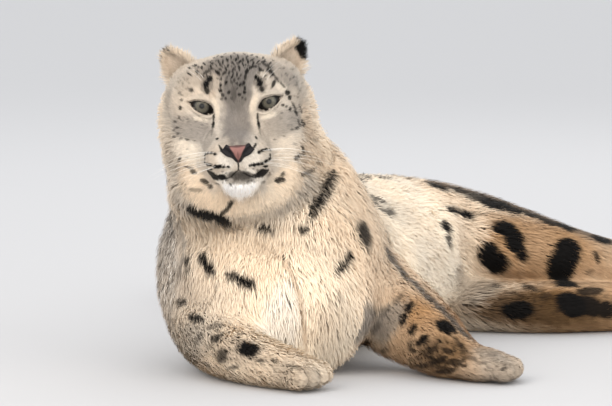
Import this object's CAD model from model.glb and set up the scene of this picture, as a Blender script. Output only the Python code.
import math

import bmesh
import bpy
import numpy as np
from mathutils import Matrix, Vector
from mathutils.bvhtree import BVHTree
from mathutils.kdtree import KDTree


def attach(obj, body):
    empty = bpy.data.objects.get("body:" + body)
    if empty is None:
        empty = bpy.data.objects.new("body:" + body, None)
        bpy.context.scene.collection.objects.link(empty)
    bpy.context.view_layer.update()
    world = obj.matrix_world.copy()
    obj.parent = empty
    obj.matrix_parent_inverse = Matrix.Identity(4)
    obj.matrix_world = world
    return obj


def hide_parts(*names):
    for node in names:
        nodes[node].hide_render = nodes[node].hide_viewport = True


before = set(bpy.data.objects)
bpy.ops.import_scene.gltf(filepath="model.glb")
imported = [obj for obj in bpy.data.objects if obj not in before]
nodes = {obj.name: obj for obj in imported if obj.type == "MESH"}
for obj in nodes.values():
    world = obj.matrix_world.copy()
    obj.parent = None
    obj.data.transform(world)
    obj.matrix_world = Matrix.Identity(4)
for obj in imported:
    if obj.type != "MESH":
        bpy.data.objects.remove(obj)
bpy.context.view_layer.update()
scene = bpy.context.scene
mm = 0.001


def linear(code):
    # sRGB hex to the linear values that shaders take
    parts = [int(code[n:n + 2], 16) / 255 for n in (1, 3, 5)]
    return (*(v / 12.92 if v <= 0.04045 else ((v + 0.055) / 1.055) ** 2.4 for v in parts), 1.0)


def smoothStep(value, low, high):
    t = np.clip((np.asarray(value, float) - low) / (high - low), 0, 1)
    return t * t * (3 - 2 * t)


def unit(vectors):
    return vectors / np.maximum(np.linalg.norm(vectors, axis=-1, keepdims=True), 1e-12)


def rows(a, b):
    # dot product row by row
    return np.einsum("ij,ij->i", a, b)


def waves(points, size, seed, count=7):
    # soft random field from -1 to 1 whose lumps are about this size
    rng = np.random.default_rng(seed)
    ways = unit(rng.normal(size=(count, 3))) * rng.uniform(0.7, 1.5, (count, 1)) * math.pi / size
    return np.sin(points @ ways.T + rng.uniform(0, 2 * math.pi, count)).sum(1) / (0.62 * count)


# Camera at the photo's viewing angle. Its place is also what the marks below are placed by.
photo = {
    "width": 612, "height": 406, "distance": 5.0, "elevation": 5.5,
    "target": (0.027, 0.0, 0.2137), "metresPerPixel": 0.00127,
}


def cameraFrame():
    lift = math.radians(photo["elevation"])
    ahead = Vector((0, math.cos(lift), -math.sin(lift)))
    right = Vector((1, 0, 0))
    place = Vector(photo["target"]) - ahead * photo["distance"]
    return place, right, right.cross(ahead), ahead


def addCamera():
    place, right, up, ahead = cameraFrame()
    data = bpy.data.cameras.new("photo_view")
    data.sensor_width = 36
    data.lens = 36 * photo["distance"] / (photo["metresPerPixel"] * photo["width"])
    data.clip_end = 60
    camera = bpy.data.objects.new("photo_view", data)
    camera.matrix_world = Matrix.Translation(place) @ Matrix((right, up, -ahead)).transposed().to_4x4()
    scene.collection.objects.link(camera)
    scene.camera = camera


addCamera()

# Head frame in millimetres: X to the animal's left, Y back, Z up, between the corneas
head = {
    "eyeLine": (-0.061, -0.075, 0.344), "lift": 5.5, "lean": 3.8,
    "eyeRadius": 15.5, "eyeSide": 42.0, "eyeSlant": 26.0, "blend": 7.0,
    "collar": (-0.057, -0.015, 0.240), "collarWay": (-0.06, -0.50, 0.86),
}
headPlace = (
    Matrix.Translation(Vector(head["eyeLine"]))
    @ Matrix.Rotation(math.radians(-head["lift"]), 4, "X")
    @ Matrix.Rotation(math.radians(-head["lean"]), 4, "Y")
    @ Matrix.Scale(mm, 4)
)
headArray = np.array(headPlace)
headTurn = headArray[:3, :3] / mm


def toHead(points):
    return (points - headArray[:3, 3]) @ headTurn / mm


def fromHead(points):
    return points @ headTurn.T * mm + headArray[:3, 3]


# Rounded masses of the head: centre, then half sizes; one to the side has a twin
headMasses = (
    ((0, 74, 1), (77, 79, 66)), ((0, 40, 16), (54, 42, 46)), ((52, 52, 4), (34, 46, 46)),
    ((46, 68, 24), (30, 46, 31)), ((56, 92, -16), (44, 42, 58)), ((50, 56, -42), (44, 46, 50)),
    ((42, 31, -24), (28, 23, 22)),
    ((28, 17, 17), (22, 15, 13)), ((24, 14, -50), (24, 34, 26)), ((0, 24, -4), (24, 27, 24)),
    ((0, 1, -28), (22, 26, 22)), ((0, -30, -50), (21, 28, 15)), ((0, -4, -68), (38, 40, 24)),
    ((19, -28, -70), (20, 25, 16)), ((0, -14, -99), (22, 30, 15)), ((0, 30, -88), (44, 48, 29)),
    ((1, 62, -110), (98, 72, 56)), ((9, 100, -60), (104, 88, 68)),
)


def massField(points, masses, blend):
    # below zero inside the softly joined masses, in about millimetres
    total = 0
    for centre, halfSizes in masses:
        for side in (1, -1) if centre[0] > 12 else (1,):
            offset = points - np.array((side * centre[0], centre[1], centre[2]))
            near = np.linalg.norm(offset / halfSizes, axis=1) + 1e-9
            steep = np.linalg.norm(offset / np.square(halfSizes), axis=1) + 1e-9
            total = total + np.exp(-near * (near - 1) / steep / blend)
    return -blend * np.log(total)


def settle(points, field, rounds=6, most=4.0):
    # moves points onto the level where field is zero
    points = points.copy()
    for _ in range(rounds):
        here = field(points)
        slope = np.stack([field(points + step) - here for step in 0.4 * np.eye(3)], axis=1) / 0.4
        points -= np.clip(here, -most, most)[:, None] * slope / (rows(slope, slope)[:, None] + 1e-9)
    return points


# How the coat lies: place, way of the hair, hair length and coat depth in mm, reach in mm,
# then how cream and how tan it is
coatGuides = (
    ((-0.055, -0.050, 0.225), (0.00, -0.25, -1.0), 42, 18, 50, 0.95, 0.30),   # throat
    ((-0.045, -0.085, 0.190), (0.02, -0.20, -1.0), 50, 23, 50, 0.95, 0.25),
    ((-0.020, -0.110, 0.140), (0.00, -0.10, -1.0), 56, 25, 55, 1.00, 0.12),
    ((0.080, -0.060, 0.150), (0.28, 0.10, -1.0), 52, 24, 50, 0.95, 0.30),
    ((-0.120, -0.050, 0.150), (-0.10, 0.10, -1.0), 46, 21, 50, 0.90, 0.30),
    ((0.000, -0.110, 0.080), (0.02, 0.00, -1.0), 58, 25, 50, 1.00, 0.00),
    ((0.010, -0.090, 0.030), (0.05, 0.10, -1.0), 52, 23, 45, 1.00, 0.00),
    ((-0.135, 0.000, 0.225), (-0.12, 0.15, -1.0), 40, 18, 45, 0.75, 0.25),   # sides of the neck
    ((0.060, 0.000, 0.235), (0.30, 0.15, -1.0), 40, 18, 45, 0.90, 0.40),
    ((0.090, 0.050, 0.200), (0.35, 0.20, -1.0), 40, 18, 45, 0.80, 0.35),
    ((-0.150, 0.070, 0.170), (-0.05, 0.25, -1.0), 32, 14, 50, 0.10, 0.00),   # shoulders
    ((-0.145, 0.040, 0.100), (0.02, -0.10, -1.0), 28, 12, 45, 0.10, 0.00),
    ((0.120, 0.070, 0.180), (0.40, 0.20, -1.0), 34, 15, 50, 0.50, 0.20),
    ((-0.040, 0.150, 0.300), (0.00, 0.75, -0.65), 40, 18, 55, 0.25, 0.10),   # nape and back
    ((0.000, 0.220, 0.250), (0.10, 1.00, -0.35), 34, 16, 55, 0.15, 0.05),
    ((-0.100, 0.180, 0.170), (0.10, 0.90, -0.50), 34, 15, 55, 0.12, 0.03),
    ((0.000, 0.360, 0.140), (0.45, 0.88, -0.10), 34, 15, 65, 0.15, 0.08),
    ((-0.010, 0.360, 0.050), (0.45, 0.88, -0.20), 30, 13, 55, 0.30, 0.05),
    ((0.100, 0.540, 0.120), (0.48, 0.88, 0.00), 34, 15, 60, 0.20, 0.12),
    ((0.100, 0.280, 0.220), (0.50, 0.85, 0.00), 34, 15, 60, 0.80, 0.12),     # upper flank
    ((0.160, 0.200, 0.170), (0.60, 0.60, -0.50), 42, 19, 55, 1.00, 0.08),
    ((0.150, 0.160, 0.080), (0.60, 0.30, -0.70), 56, 24, 55, 1.00, 0.00),    # belly
    ((0.210, 0.300, 0.090), (0.75, 0.40, -0.50), 56, 24, 65, 1.00, 0.00),
    ((0.240, 0.380, 0.070), (0.85, 0.20, -0.40), 48, 20, 55, 1.00, 0.05),
    ((0.190, 0.470, 0.210), (0.80, 0.30, -0.10), 32, 14, 60, 0.75, 0.28),    # hips
    ((0.270, 0.620, 0.140), (0.40, 0.90, -0.20), 32, 14, 55, 0.30, 0.20),
)
# Bones of the legs and tail: places down the limb, each with its hair length, coat depth,
# reach, cream and tan
limbGuides = {
    "forelegLeft": (
        ((0.094, 0.052, 0.124), 30, 13, 45, 0.75, 0.45), ((0.136, 0.022, 0.074), 26, 11, 45, 0.70, 0.50),
        ((0.176, -0.026, 0.051), 21, 9, 42, 0.60, 0.70), ((0.204, -0.074, 0.034), 17, 7, 38, 0.50, 0.85),
        ((0.253, -0.106, 0.020), 12, 5, 38, 0.35, 0.35), ((0.290, -0.115, 0.017), 10, 4, 30, 0.50, 0.20),
    ),
    "forelegRight": (
        ((-0.110, 0.052, 0.120), 30, 13, 45, 0.20, 0.05), ((-0.098, 0.000, 0.062), 25, 11, 42, 0.45, 0.15),
        ((-0.078, -0.070, 0.044), 21, 9, 40, 0.75, 0.25), ((-0.040, -0.130, 0.033), 16, 7, 38, 0.90, 0.30),
        ((0.010, -0.174, 0.023), 11, 5, 36, 0.80, 0.30), ((0.046, -0.200, 0.018), 9, 4, 30, 0.75, 0.25),
    ),
    "hindLegLeft": (
        ((0.240, 0.490, 0.117), 30, 13, 55, 0.95, 0.25), ((0.300, 0.466, 0.113), 26, 10, 55, 0.85, 0.45),
        ((0.385, 0.450, 0.094), 20, 4.5, 48, 0.75, 0.60), ((0.460, 0.466, 0.079), 17, 3, 42, 0.70, 0.70),
        ((0.560, 0.508, 0.053), 15, 3, 38, 0.65, 0.65), ((0.620, 0.522, 0.038), 15, 6, 34, 0.60, 0.60),
        ((0.690, 0.506, 0.030), 13, 6, 34, 0.60, 0.50), ((0.770, 0.492, 0.025), 11, 5, 36, 0.60, 0.40),
        ((0.810, 0.486, 0.020), 9, 4, 30, 0.60, 0.30),
    ),
    "hindLegRight": (
        ((0.290, 0.400, 0.029), 24, 9, 45, 0.85, 0.40), ((0.365, 0.380, 0.027), 20, 3.5, 42, 0.65, 0.80),
        ((0.440, 0.392, 0.027), 18, 3, 40, 0.55, 0.95), ((0.530, 0.418, 0.028), 16, 3, 36, 0.50, 0.95),
        ((0.580, 0.422, 0.028), 14, 4.5, 34, 0.55, 0.80), ((0.650, 0.402, 0.026), 13, 6, 34, 0.55, 0.60),
        ((0.722, 0.383, 0.024), 11, 5, 36, 0.60, 0.40), ((0.762, 0.374, 0.020), 9, 4, 30, 0.60, 0.30),
    ),
    "tail": (
        ((0.252, 0.630, 0.084), 36, 16, 50, 0.30, 0.10), ((0.284, 0.742, 0.058), 48, 20, 55, 0.35, 0.05),
        ((0.264, 0.832, 0.047), 50, 21, 55, 0.40, 0.05), ((0.170, 0.892, 0.047), 50, 21, 55, 0.40, 0.05),
        ((0.050, 0.884, 0.047), 50, 21, 55, 0.40, 0.05), ((-0.050, 0.815, 0.047), 50, 21, 55, 0.40, 0.05),
        ((-0.086, 0.710, 0.046), 50, 21, 55, 0.40, 0.05), ((-0.048, 0.622, 0.044), 46, 19, 50, 0.35, 0.05),
        ((0.002, 0.576, 0.038), 38, 15, 45, 0.30, 0.05),
    ),
}


# Under the left hind leg the coat hangs as a fringe
fringeSpots = ((0.300, 0.440, 0.062), (0.345, 0.436, 0.058), (0.390, 0.440, 0.056), (0.435, 0.446, 0.052))


def gatherGuides():
    table = [(*spot, *unit(np.array((0.45, -0.25, -0.85))), 20, 3.5, 26, 0.70, 0.60, 9.0) for spot in fringeSpots]
    table += [(*place, *unit(np.array(way)), *rest, 1.0) for place, way, *rest in coatGuides]
    for limb in limbGuides.values():
        places = np.array([row[0] for row in limb])
        ways = unit(np.gradient(places, axis=0))
        table += [(*place, *way, *row[1:], 2.2) for place, way, row in zip(places, ways, limb)]
    return np.array(table)


guideTable = gatherGuides()


def headCoat(local):
    # hair way, length and coat depth on the head, all in the head's own millimetres
    x, y, z = local.T
    side = np.abs(x)
    fromNose = np.sqrt(x ** 2 + (0.8 * (y + 58)) ** 2 + (z + 56) ** 2)
    ruff = smoothStep(side, 58, 92) * smoothStep(-z, -25, 25)
    jaw = smoothStep(-z, 84, 118) * smoothStep(y, -12, 30)
    chin = smoothStep(-z, 92, 106) * smoothStep(-y, -2, 14) * smoothStep(-side, -34, -20)
    edge = smoothStep(side, 52, 80) * smoothStep(y, 5, 50)
    rim = smoothStep(y, 12, 52) * smoothStep(np.hypot(x, z), 48, 74)
    length = 4.3 + 0.050 * fromNose + 15 * ruff + 20 * jaw + 9 * chin + 6 * edge + 5 * rim
    length = length + 16 * smoothStep(y, 85, 150)
    nearEye = np.sqrt((side - 43) ** 2 + (1.3 * z) ** 2)
    length = length * (1 - 0.42 * smoothStep(-nearEye, -34, -17) * smoothStep(-y, -30, -10))
    depth = length * (0.22 + 0.18 * smoothStep(length, 9, 26) + 0.12 * rim)
    way = np.stack([x, y + 62, z + 46], axis=1)
    reach = np.linalg.norm(way, axis=1)
    way[:, 2] -= reach * (0.95 * smoothStep(side, 60, 92) * smoothStep(-z, -12, 40) + 0.8 * jaw + 0.4 * chin)
    way[:, 1] += 0.5 * reach * smoothStep(z, 20, 60)
    way[:, 2] -= 1.0 * reach * smoothStep(y, 60, 115)
    return unit(way), length, depth


def coatAt(points, normals):
    # everything about the coat at points of the skin, lengths in metres
    total = np.zeros(len(points))
    blended = np.zeros((len(points), 7))
    for row in guideTable:
        gap = np.sum((points - row[:3]) ** 2, axis=1)
        share = row[11] * np.exp(-gap / (2 * (row[8] * mm) ** 2)) + 1e-9 / (gap + 1e-4)
        total += share
        blended += share[:, None] * row[[3, 4, 5, 6, 7, 9, 10]]
    blended /= total[:, None]
    flow, length, depth, pale, tan = blended[:, :3], *blended[:, 3:].T
    local = toHead(points)
    collarWay = np.array(head["collarWay"]) / np.linalg.norm(head["collarWay"])
    onHead = smoothStep((points - np.array(head["collar"])) @ collarWay, -0.022, 0.026)
    way, hairLength, hairDepth = headCoat(local)
    flow = (1 - onHead)[:, None] * unit(flow) + onHead[:, None] * (way @ headTurn.T)
    length = length + onHead * (hairLength - length)
    depth = depth + onHead * (hairDepth - depth)
    swirl = np.stack([waves(points, 0.055, 30 + n) + 0.6 * waves(points, 0.022, 40 + n) for n in range(3)], axis=1)
    shag = smoothStep(length, 22, 48)
    flow = unit(flow) + (0.12 + 0.07 * shag * (1 - onHead))[:, None] * swirl
    flow = flow - rows(flow, normals)[:, None] * normals
    return {
        "flow": unit(flow), "length": length * mm, "depth": depth * mm,
        "pale": pale, "tan": tan, "onHead": onHead, "local": local,
    }


def meshArrays(mesh):
    points = np.empty(3 * len(mesh.vertices), np.float32)
    mesh.vertices.foreach_get("co", points)
    normals = np.empty(3 * len(mesh.vertices), np.float32)
    mesh.vertices.foreach_get("normal", normals)
    return points.reshape(-1, 3).astype(float), normals.reshape(-1, 3).astype(float)


def setPoints(mesh, points):
    mesh.vertices.foreach_set("co", points.astype(np.float32).ravel())
    mesh.update()


def addObject(name, mesh):
    made = bpy.data.objects.new(name, mesh)
    scene.collection.objects.link(made)
    return made


def baked(item, name):
    # the object's mesh with its modifiers made real
    graph = bpy.context.evaluated_depsgraph_get()
    mesh = bpy.data.meshes.new_from_object(item.evaluated_get(graph))
    mesh.name = name
    bpy.data.objects.remove(item)
    return mesh


def remeshed(mesh, voxel, rounds, name):
    item = addObject(name, mesh)
    merge = item.modifiers.new("Merge", "REMESH")
    merge.mode, merge.voxel_size = "VOXEL", voxel
    soften = item.modifiers.new("Soften", "SMOOTH")
    soften.factor, soften.iterations = 0.5, rounds
    return baked(item, name)


def surfaceTree(mesh):
    mesh.calc_loop_triangles()
    corners = np.empty(3 * len(mesh.loop_triangles), np.int32)
    mesh.loop_triangles.foreach_get("vertices", corners)
    points = meshArrays(mesh)[0]
    return BVHTree.FromPolygons(points.tolist(), corners.reshape(-1, 3).tolist())


def nearestOn(tree, points):
    # nearest point, its face normal and the distance, for each point
    found = [tree.find_nearest(point) for point in points.tolist()]
    spots = np.array([hit[0] for hit in found])
    normals = np.array([hit[1] for hit in found])
    return spots, normals, np.array([hit[3] for hit in found])


# Features of the face, placed from the photo in the head's own millimetres
face = {
    "middle": (236.25, 105.4), "scale": 1.25, "lean": 0.066,
    "eyeMiddle": (43.4, -0.9), "eyeHalf": 16.0, "upperLid": 8.0, "lowerLid": 5.9,
    "ballHeight": 1.2, "lidThick": 1.1,
}
mouthLines = (
    ((213, 178), (218, 180.5), (225, 179.5), (231, 177), (235, 173), (238.3, 169.5)),
    ((238.3, 169.5), (242, 172), (248, 175.5), (254, 177.8), (261, 177), (267, 172.5)),
    ((238, 160), (238.3, 169.5)),
)
creaseLines = (      # path in photo pixels, depth, half width in mm
    (((213, 113), (211, 121), (206, 130), (203, 138)), 1.5, 3.0),
    (((258, 111), (261, 121), (266, 130), (269, 137)), 1.5, 3.0),
    (((190, 110), (199, 118.5), (208, 119.5)), 1.2, 2.2),
    (((282, 104), (272, 115), (263, 116.5)), 1.2, 2.2),
    (((186, 100), (198, 96.5), (208, 97.5)), 1.3, 2.4),
    (((282, 92), (270, 90.5), (261, 93)), 1.3, 2.4),
    (((219, 147), (217, 153), (221, 161), (231, 165)), 0.8, 1.6),
    (((256, 145), (258, 151), (253, 160), (244, 164)), 0.8, 1.6),
    (((200, 176), (206, 183), (216, 186)), 1.8, 3.5),
    (((277, 172), (272, 181), (262, 185)), 1.8, 3.5),
)


def onFace(px, py):
    # photo pixel to the head's x and z
    x = (np.asarray(px, float) - face["middle"][0]) * face["scale"]
    return x, (face["middle"][1] - np.asarray(py, float)) * face["scale"] - face["lean"] * x


def lineGap(x, z, path):
    # distance on the face from a path of photo pixels
    px, pz = onFace(*np.array(path, float).T)
    best = np.full(len(x), 1e9)
    for n in range(len(px) - 1):
        ax, az = px[n + 1] - px[n], pz[n + 1] - pz[n]
        t = np.clip(((x - px[n]) * ax + (z - pz[n]) * az) / (ax * ax + az * az), 0, 1)
        best = np.minimum(best, np.hypot(x - px[n] - t * ax, z - pz[n] - t * az))
    return best


def lidShare(x, z):
    # 1 on the rim of the eye's opening, an almond with its outer corner up
    slant = math.radians(head["eyeSlant"])
    dx, dz = np.abs(x) - face["eyeMiddle"][0], z - face["eyeMiddle"][1]
    along = (dx * math.cos(slant) + dz * math.sin(slant)) / face["eyeHalf"]
    across = -dx * math.sin(slant) + dz * math.cos(slant)
    full = 1 - 0.30 * np.clip(along, -1, 1)
    height = np.where(across > 0, face["upperLid"], face["lowerLid"]) * full
    return np.sqrt(along ** 2 + (across / height) ** 2 + 0.5 * np.abs(along) ** 3 * np.abs(across) / height)


def faceRelief(points):
    # how far the skin is sunk, in mm, for sockets, mouth and creases
    x, y, z = points.T
    front = smoothStep(-y, -34, -22)
    sunk = 13.0 * smoothStep(-lidShare(x, z), -1.42, -1.14) * front
    for number, path in enumerate(mouthLines):
        gap = lineGap(x, z, path)
        deep, wide = (1.0, 1.3) if number == 2 else (3.0, 1.5)
        sunk = sunk + (deep * np.exp(-(gap / wide) ** 2) - 0.5 * np.exp(-((gap - 3.6) / 2.0) ** 2)) * (y < -4)
    for path, deep, wide in creaseLines:
        sunk = sunk + deep * np.exp(-(lineGap(x, z, path) / wide) ** 2) * front
    return sunk


def plainLevel(points):
    return massField(points, headMasses, head["blend"]) + headCoat(points)[2]


def headLevel(points):
    return plainLevel(points) + faceRelief(points)


def frontOf(x, z):
    # how far forward the face is at x and z, found by halving
    low, high = np.full(len(x), -85.0), np.full(len(x), 45.0)
    for _ in range(22):
        y = (low + high) / 2
        outside = plainLevel(np.stack([x, y, z], axis=1)) > 0
        low, high = np.where(outside, y, low), np.where(outside, high, y)
    return (low + high) / 2


def ballFront(x, z):
    gap = np.minimum(np.hypot(np.abs(x) - head["eyeSide"], z - face["ballHeight"]), 14.2)
    return head["eyeRadius"] - np.sqrt(head["eyeRadius"] ** 2 - gap ** 2)


# rows of a lid from the face to the eyeball: how far out, and how much it follows the ball
lidRows = ((1.62, 0.0, 1.2), (1.48, 0.0, 0.0), (1.34, 0.12, -0.3), (1.22, 0.45, 0.3), (1.13, 0.85, -0.2),
           (1.06, 1.0, -1.2), (1.00, 1.0, -1.5), (0.95, 1.0, -1.1), (0.915, 1.0, -0.3), (0.89, 1.0, 0.9))


def lidMesh(side):
    # rings of the eyelids, drawn as an almond and bridged row by row
    bm = bmesh.new()
    loops = []
    for share, toBall, push in lidRows:
        made = bmesh.ops.create_circle(bm, cap_ends=False, radius=1, segments=64)["verts"]
        angle = np.array([math.atan2(vert.co.y, vert.co.x) for vert in made])
        along, across = np.cos(angle), np.sin(angle)
        reach = np.ones(64)
        slant = math.radians(head["eyeSlant"])
        for _ in range(12):
            dx = reach * along * face["eyeHalf"]
            dz = reach * across * face["upperLid"]
            x = face["eyeMiddle"][0] + dx * math.cos(slant) - dz * math.sin(slant)
            z = face["eyeMiddle"][1] + dx * math.sin(slant) + dz * math.cos(slant)
            reach *= share / lidShare(x, z)
        y = frontOf(x, z)
        y = y + toBall * (ballFront(x, z) - y) + push
        for vert, spot in zip(made, np.stack([side * x, y, z], axis=1).tolist()):
            vert.co = headPlace @ Vector(spot)
        loops.append([edge for edge in bm.edges if edge.verts[0] in made and edge.verts[1] in made])
    for outerLoop, innerLoop in zip(loops, loops[1:]):
        bmesh.ops.bridge_loops(bm, edges=outerLoop + innerLoop)
    bmesh.ops.recalc_face_normals(bm, faces=bm.faces)
    bm.faces.ensure_lookup_table()
    ahead = -np.array(headPlace.col[1].xyz)
    if sum(polygon.normal.dot(Vector(ahead)) for polygon in bm.faces) < 0:
        bmesh.ops.reverse_faces(bm, faces=bm.faces)
    return finishMesh(bm, "lid")


ear = {
    "place": (62, 74, 30), "halfWidth": 19.0, "inner": 1.42, "height": 50, "cup": 10, "thick": 3.4,
    "taper": 0.74, "droop": 5, "turns": (29, -6, 34),
}


def earPlace(side):
    out, back, cupped = (math.radians(angle) for angle in ear["turns"])
    spot = Vector(ear["place"])
    spot.x *= side
    turn = Matrix.Rotation(side * out, 4, "Y") @ Matrix.Rotation(back, 4, "X") @ Matrix.Rotation(side * cupped, 4, "Z")
    return headPlace @ Matrix.Translation(spot) @ turn


def earWide(x, side):
    # half width at its foot, more on the side towards the crown
    return ear["halfWidth"] * np.where(x * side < 0, ear["inner"], 1.0)


def earMesh(side):
    bm = bmesh.new()
    bmesh.ops.create_grid(bm, x_segments=18, y_segments=24, size=1)
    for vert in bm.verts:
        u, v = vert.co.x, 1.14 * (vert.co.y + 1) / 2 - 0.14
        reach = float(earWide(u, side)) * (1 - ear["taper"] * max(v, 0) ** (2.4 if u * side > 0 else 3.0))
        vert.co = (u * reach, ear["cup"] * (1 - u * u) * (1 - 0.5 * v), v * ear["height"] - ear["droop"] * u * u * v)
    bmesh.ops.recalc_face_normals(bm, faces=bm.faces)
    bmesh.ops.solidify(bm, geom=bm.faces[:], thickness=ear["thick"])
    bmesh.ops.recalc_face_normals(bm, faces=bm.faces)
    for _ in range(2):
        bmesh.ops.smooth_vert(bm, verts=bm.verts, factor=0.5, use_axis_x=True, use_axis_y=True, use_axis_z=True)
    bmesh.ops.transform(bm, matrix=earPlace(side), verts=bm.verts)
    return finishMesh(bm, "ear")


def finishMesh(bm, name):
    mesh = bpy.data.meshes.new(name)
    bm.to_mesh(mesh)
    bm.free()
    return mesh


skinPlan = {"outerVoxel": 4.5 * mm, "voxel": 5.4 * mm, "faceCuts": 3, "faceBack": 44, "faceSide": 98}
eyeNodes = ("eye_left", "eye_right")
fleshNodes = tuple(sorted(set(nodes) - set(eyeNodes) - {"nose"}))


def bodyForm():
    # all the solids of flesh as one closed skin, sunk by the depth of the coat
    bm = bmesh.new()
    for name in nodes:
        if not name.startswith("ear"):
            bm.from_mesh(nodes[name].data)
    bmesh.ops.remove_doubles(bm, verts=bm.verts, dist=0.01 * mm)
    mesh = bpy.data.meshes.new("flesh")
    bm.to_mesh(mesh)
    bm.free()
    mesh = remeshed(mesh, skinPlan["outerVoxel"], 2, "flesh")
    outer = surfaceTree(mesh)
    points, normals = meshArrays(mesh)
    coat = coatAt(points, normals)
    sunk = points - normals * coat["depth"][:, None] * (1 - 0.6 * coat["onHead"])[:, None]
    setPoints(mesh, sunk)
    mesh = remeshed(mesh, skinPlan["voxel"], 3, "skin")
    points, normals = meshArrays(mesh)
    coat = coatAt(points, normals)
    nearest, _, gap = nearestOn(outer, points)
    inward = unit(points - nearest)
    wanted = nearest + inward * coat["depth"][:, None]
    share = 0.8 * (1 - coat["onHead"]) * smoothStep(gap, 0.3 * mm, 1.5 * mm)
    points += share[:, None] * (wanted - points)
    setPoints(mesh, points)
    item = addObject("skin", mesh)
    soften = item.modifiers.new("Soften", "SMOOTH")
    soften.factor, soften.iterations = 0.4, 2
    return baked(item, "skin"), outer


def refineFace(mesh):
    bm = bmesh.new()
    bm.from_mesh(mesh)
    toLocal = headPlace.inverted()
    front = []
    for face in bm.faces:
        spot = toLocal @ face.calc_center_median()
        if spot.y < skinPlan["faceBack"] and abs(spot.x) < skinPlan["faceSide"] and -122 < spot.z < 64:
            front.append(face)
    edges = {edge for face in front for edge in face.edges}
    bmesh.ops.subdivide_edges(bm, edges=list(edges), cuts=skinPlan["faceCuts"], use_grid_fill=True)
    bmesh.ops.triangulate(bm, faces=[face for face in bm.faces if len(face.verts) > 4])
    bm.to_mesh(mesh)
    bm.free()


def settleHead(mesh):
    points, normals = meshArrays(mesh)
    coat = coatAt(points, normals)
    chosen = np.flatnonzero(coat["onHead"] > 0)
    settled = fromHead(settle(coat["local"][chosen], headLevel))
    share = coat["onHead"][chosen, None]
    points[chosen] += share * (settled - points[chosen])
    setPoints(mesh, points)


def unwrapSkin(item):
    # a plain unwrap of the skin's own shape, which also places the tufts' patches
    bpy.context.view_layer.objects.active = item
    item.select_set(True)
    item.data.uv_layers.new(name="OFBake")
    bpy.ops.object.mode_set(mode="EDIT")
    bpy.ops.mesh.select_all(action="SELECT")
    bpy.ops.uv.smart_project(angle_limit=math.radians(66), island_margin=0.002)
    bpy.ops.object.mode_set(mode="OBJECT")
    item.select_set(False)


foldLines = (        # path in photo pixels, depth and half width in mm
    (((190, 246), (212, 243), (235, 245), (260, 253), (280, 262)), 7, 9),
    (((300, 300), (308, 318), (306, 340), (312, 356)), 7, 8),
    (((372, 205), (385, 235), (397, 262), (408, 285)), 6, 8),
    (((228, 300), (222, 318), (232, 336)), 5, 8),
    (((455, 235), (468, 262), (472, 290)), 6, 9),
    (((178, 205), (186, 228), (184, 250)), 4, 9),
    (((330, 215), (345, 240), (352, 262)), 3, 8),
)


def pathPlace(points, line):
    # how far along a path each point is, in metres, and how far from it
    line = np.array(line)
    steps = np.linalg.norm(np.diff(line, axis=0), axis=1)
    start = np.concatenate([[0], np.cumsum(steps)])
    best, place = np.full(len(points), 1e9), np.zeros(len(points))
    for number, (a, b) in enumerate(zip(line, line[1:])):
        t = np.clip((points - a) @ (b - a) / steps[number] ** 2, 0, 1)
        gap = np.linalg.norm(points - (a + t[:, None] * (b - a)), axis=1)
        closer = gap < best
        best[closer], place[closer] = gap[closer], (start[number] + t * steps[number])[closer]
    return place, best


def pixelRay(x, y):
    place, right, up, ahead = cameraFrame()
    focal = photo["distance"] / photo["metresPerPixel"]
    return place, (ahead * focal + right * (x - photo["width"] / 2) - up * (y - photo["height"] / 2)).normalized()


def onBody(x, y):
    # the place on the coat's outside that the photo shows at a pixel
    place, way = pixelRay(x, y)
    spot, normal = outerTree.ray_cast(place, way)[:2]
    if spot is None:
        spot, normal = outerTree.find_nearest(place + way * photo["distance"])[:2]
    return spot, normal, way, (spot - place).length * photo["metresPerPixel"] / photo["distance"]


# Paws: centre, heading in degrees from +X towards +Y, half length and half width
paws = {
    "forepaw_left": ((0.253, -0.106, 0.020), -14, 0.046, 0.042),
    "forepaw_right": ((0.010, -0.174, 0.023), -36, 0.048, 0.040),
    "hind_paw_left": ((0.770, 0.492, 0.025), -8, 0.050, 0.038),
    "hind_paw_right": ((0.722, 0.383, 0.024), -14, 0.048, 0.036),
}
toes = {"grooves": (-0.47, 0.0, 0.47), "deep": 5.0 * mm, "wide": 3.6 * mm, "cuts": 1}


def alongPaw(points, name):
    centre, heading, length, width = paws[name]
    turn = math.radians(heading)
    offset = points - np.array(centre)
    along = offset[:, 0] * math.cos(turn) + offset[:, 1] * math.sin(turn)
    across = -offset[:, 0] * math.sin(turn) + offset[:, 1] * math.cos(turn)
    near = (np.abs(offset[:, 2]) < 0.05) & (np.abs(along) < 1.7 * length) & (np.abs(across) < 1.6 * width)
    return along / length, across / width, near


def splitPaws(mesh):
    # finer faces on the paws, then the furrows between four toes
    bm = bmesh.new()
    bm.from_mesh(mesh)
    middles = np.array([polygon.calc_center_median() for polygon in bm.faces])
    chosen = np.zeros(len(middles), bool)
    for name in paws:
        along, _, near = alongPaw(middles, name)
        chosen |= near & (along > 0.05)
    edges = {edge for polygon, keep in zip(bm.faces, chosen) if keep for edge in polygon.edges}
    bmesh.ops.subdivide_edges(bm, edges=list(edges), cuts=toes["cuts"], use_grid_fill=True)
    bmesh.ops.triangulate(bm, faces=[polygon for polygon in bm.faces if len(polygon.verts) > 4])
    bm.to_mesh(mesh)
    bm.free()
    points, normals = meshArrays(mesh)
    for name in paws:
        along, across, near = alongPaw(points, name)
        width = paws[name][3]
        furrow = sum(np.exp(-((across - place) * width / toes["wide"]) ** 2) for place in toes["grooves"])
        sunk = toes["deep"] * furrow * smoothStep(along, 0.25, 0.70) * near
        points -= sunk[:, None] * normals
    points[:, 2] = np.maximum(points[:, 2], 1.0 * mm)
    setPoints(mesh, points)


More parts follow.
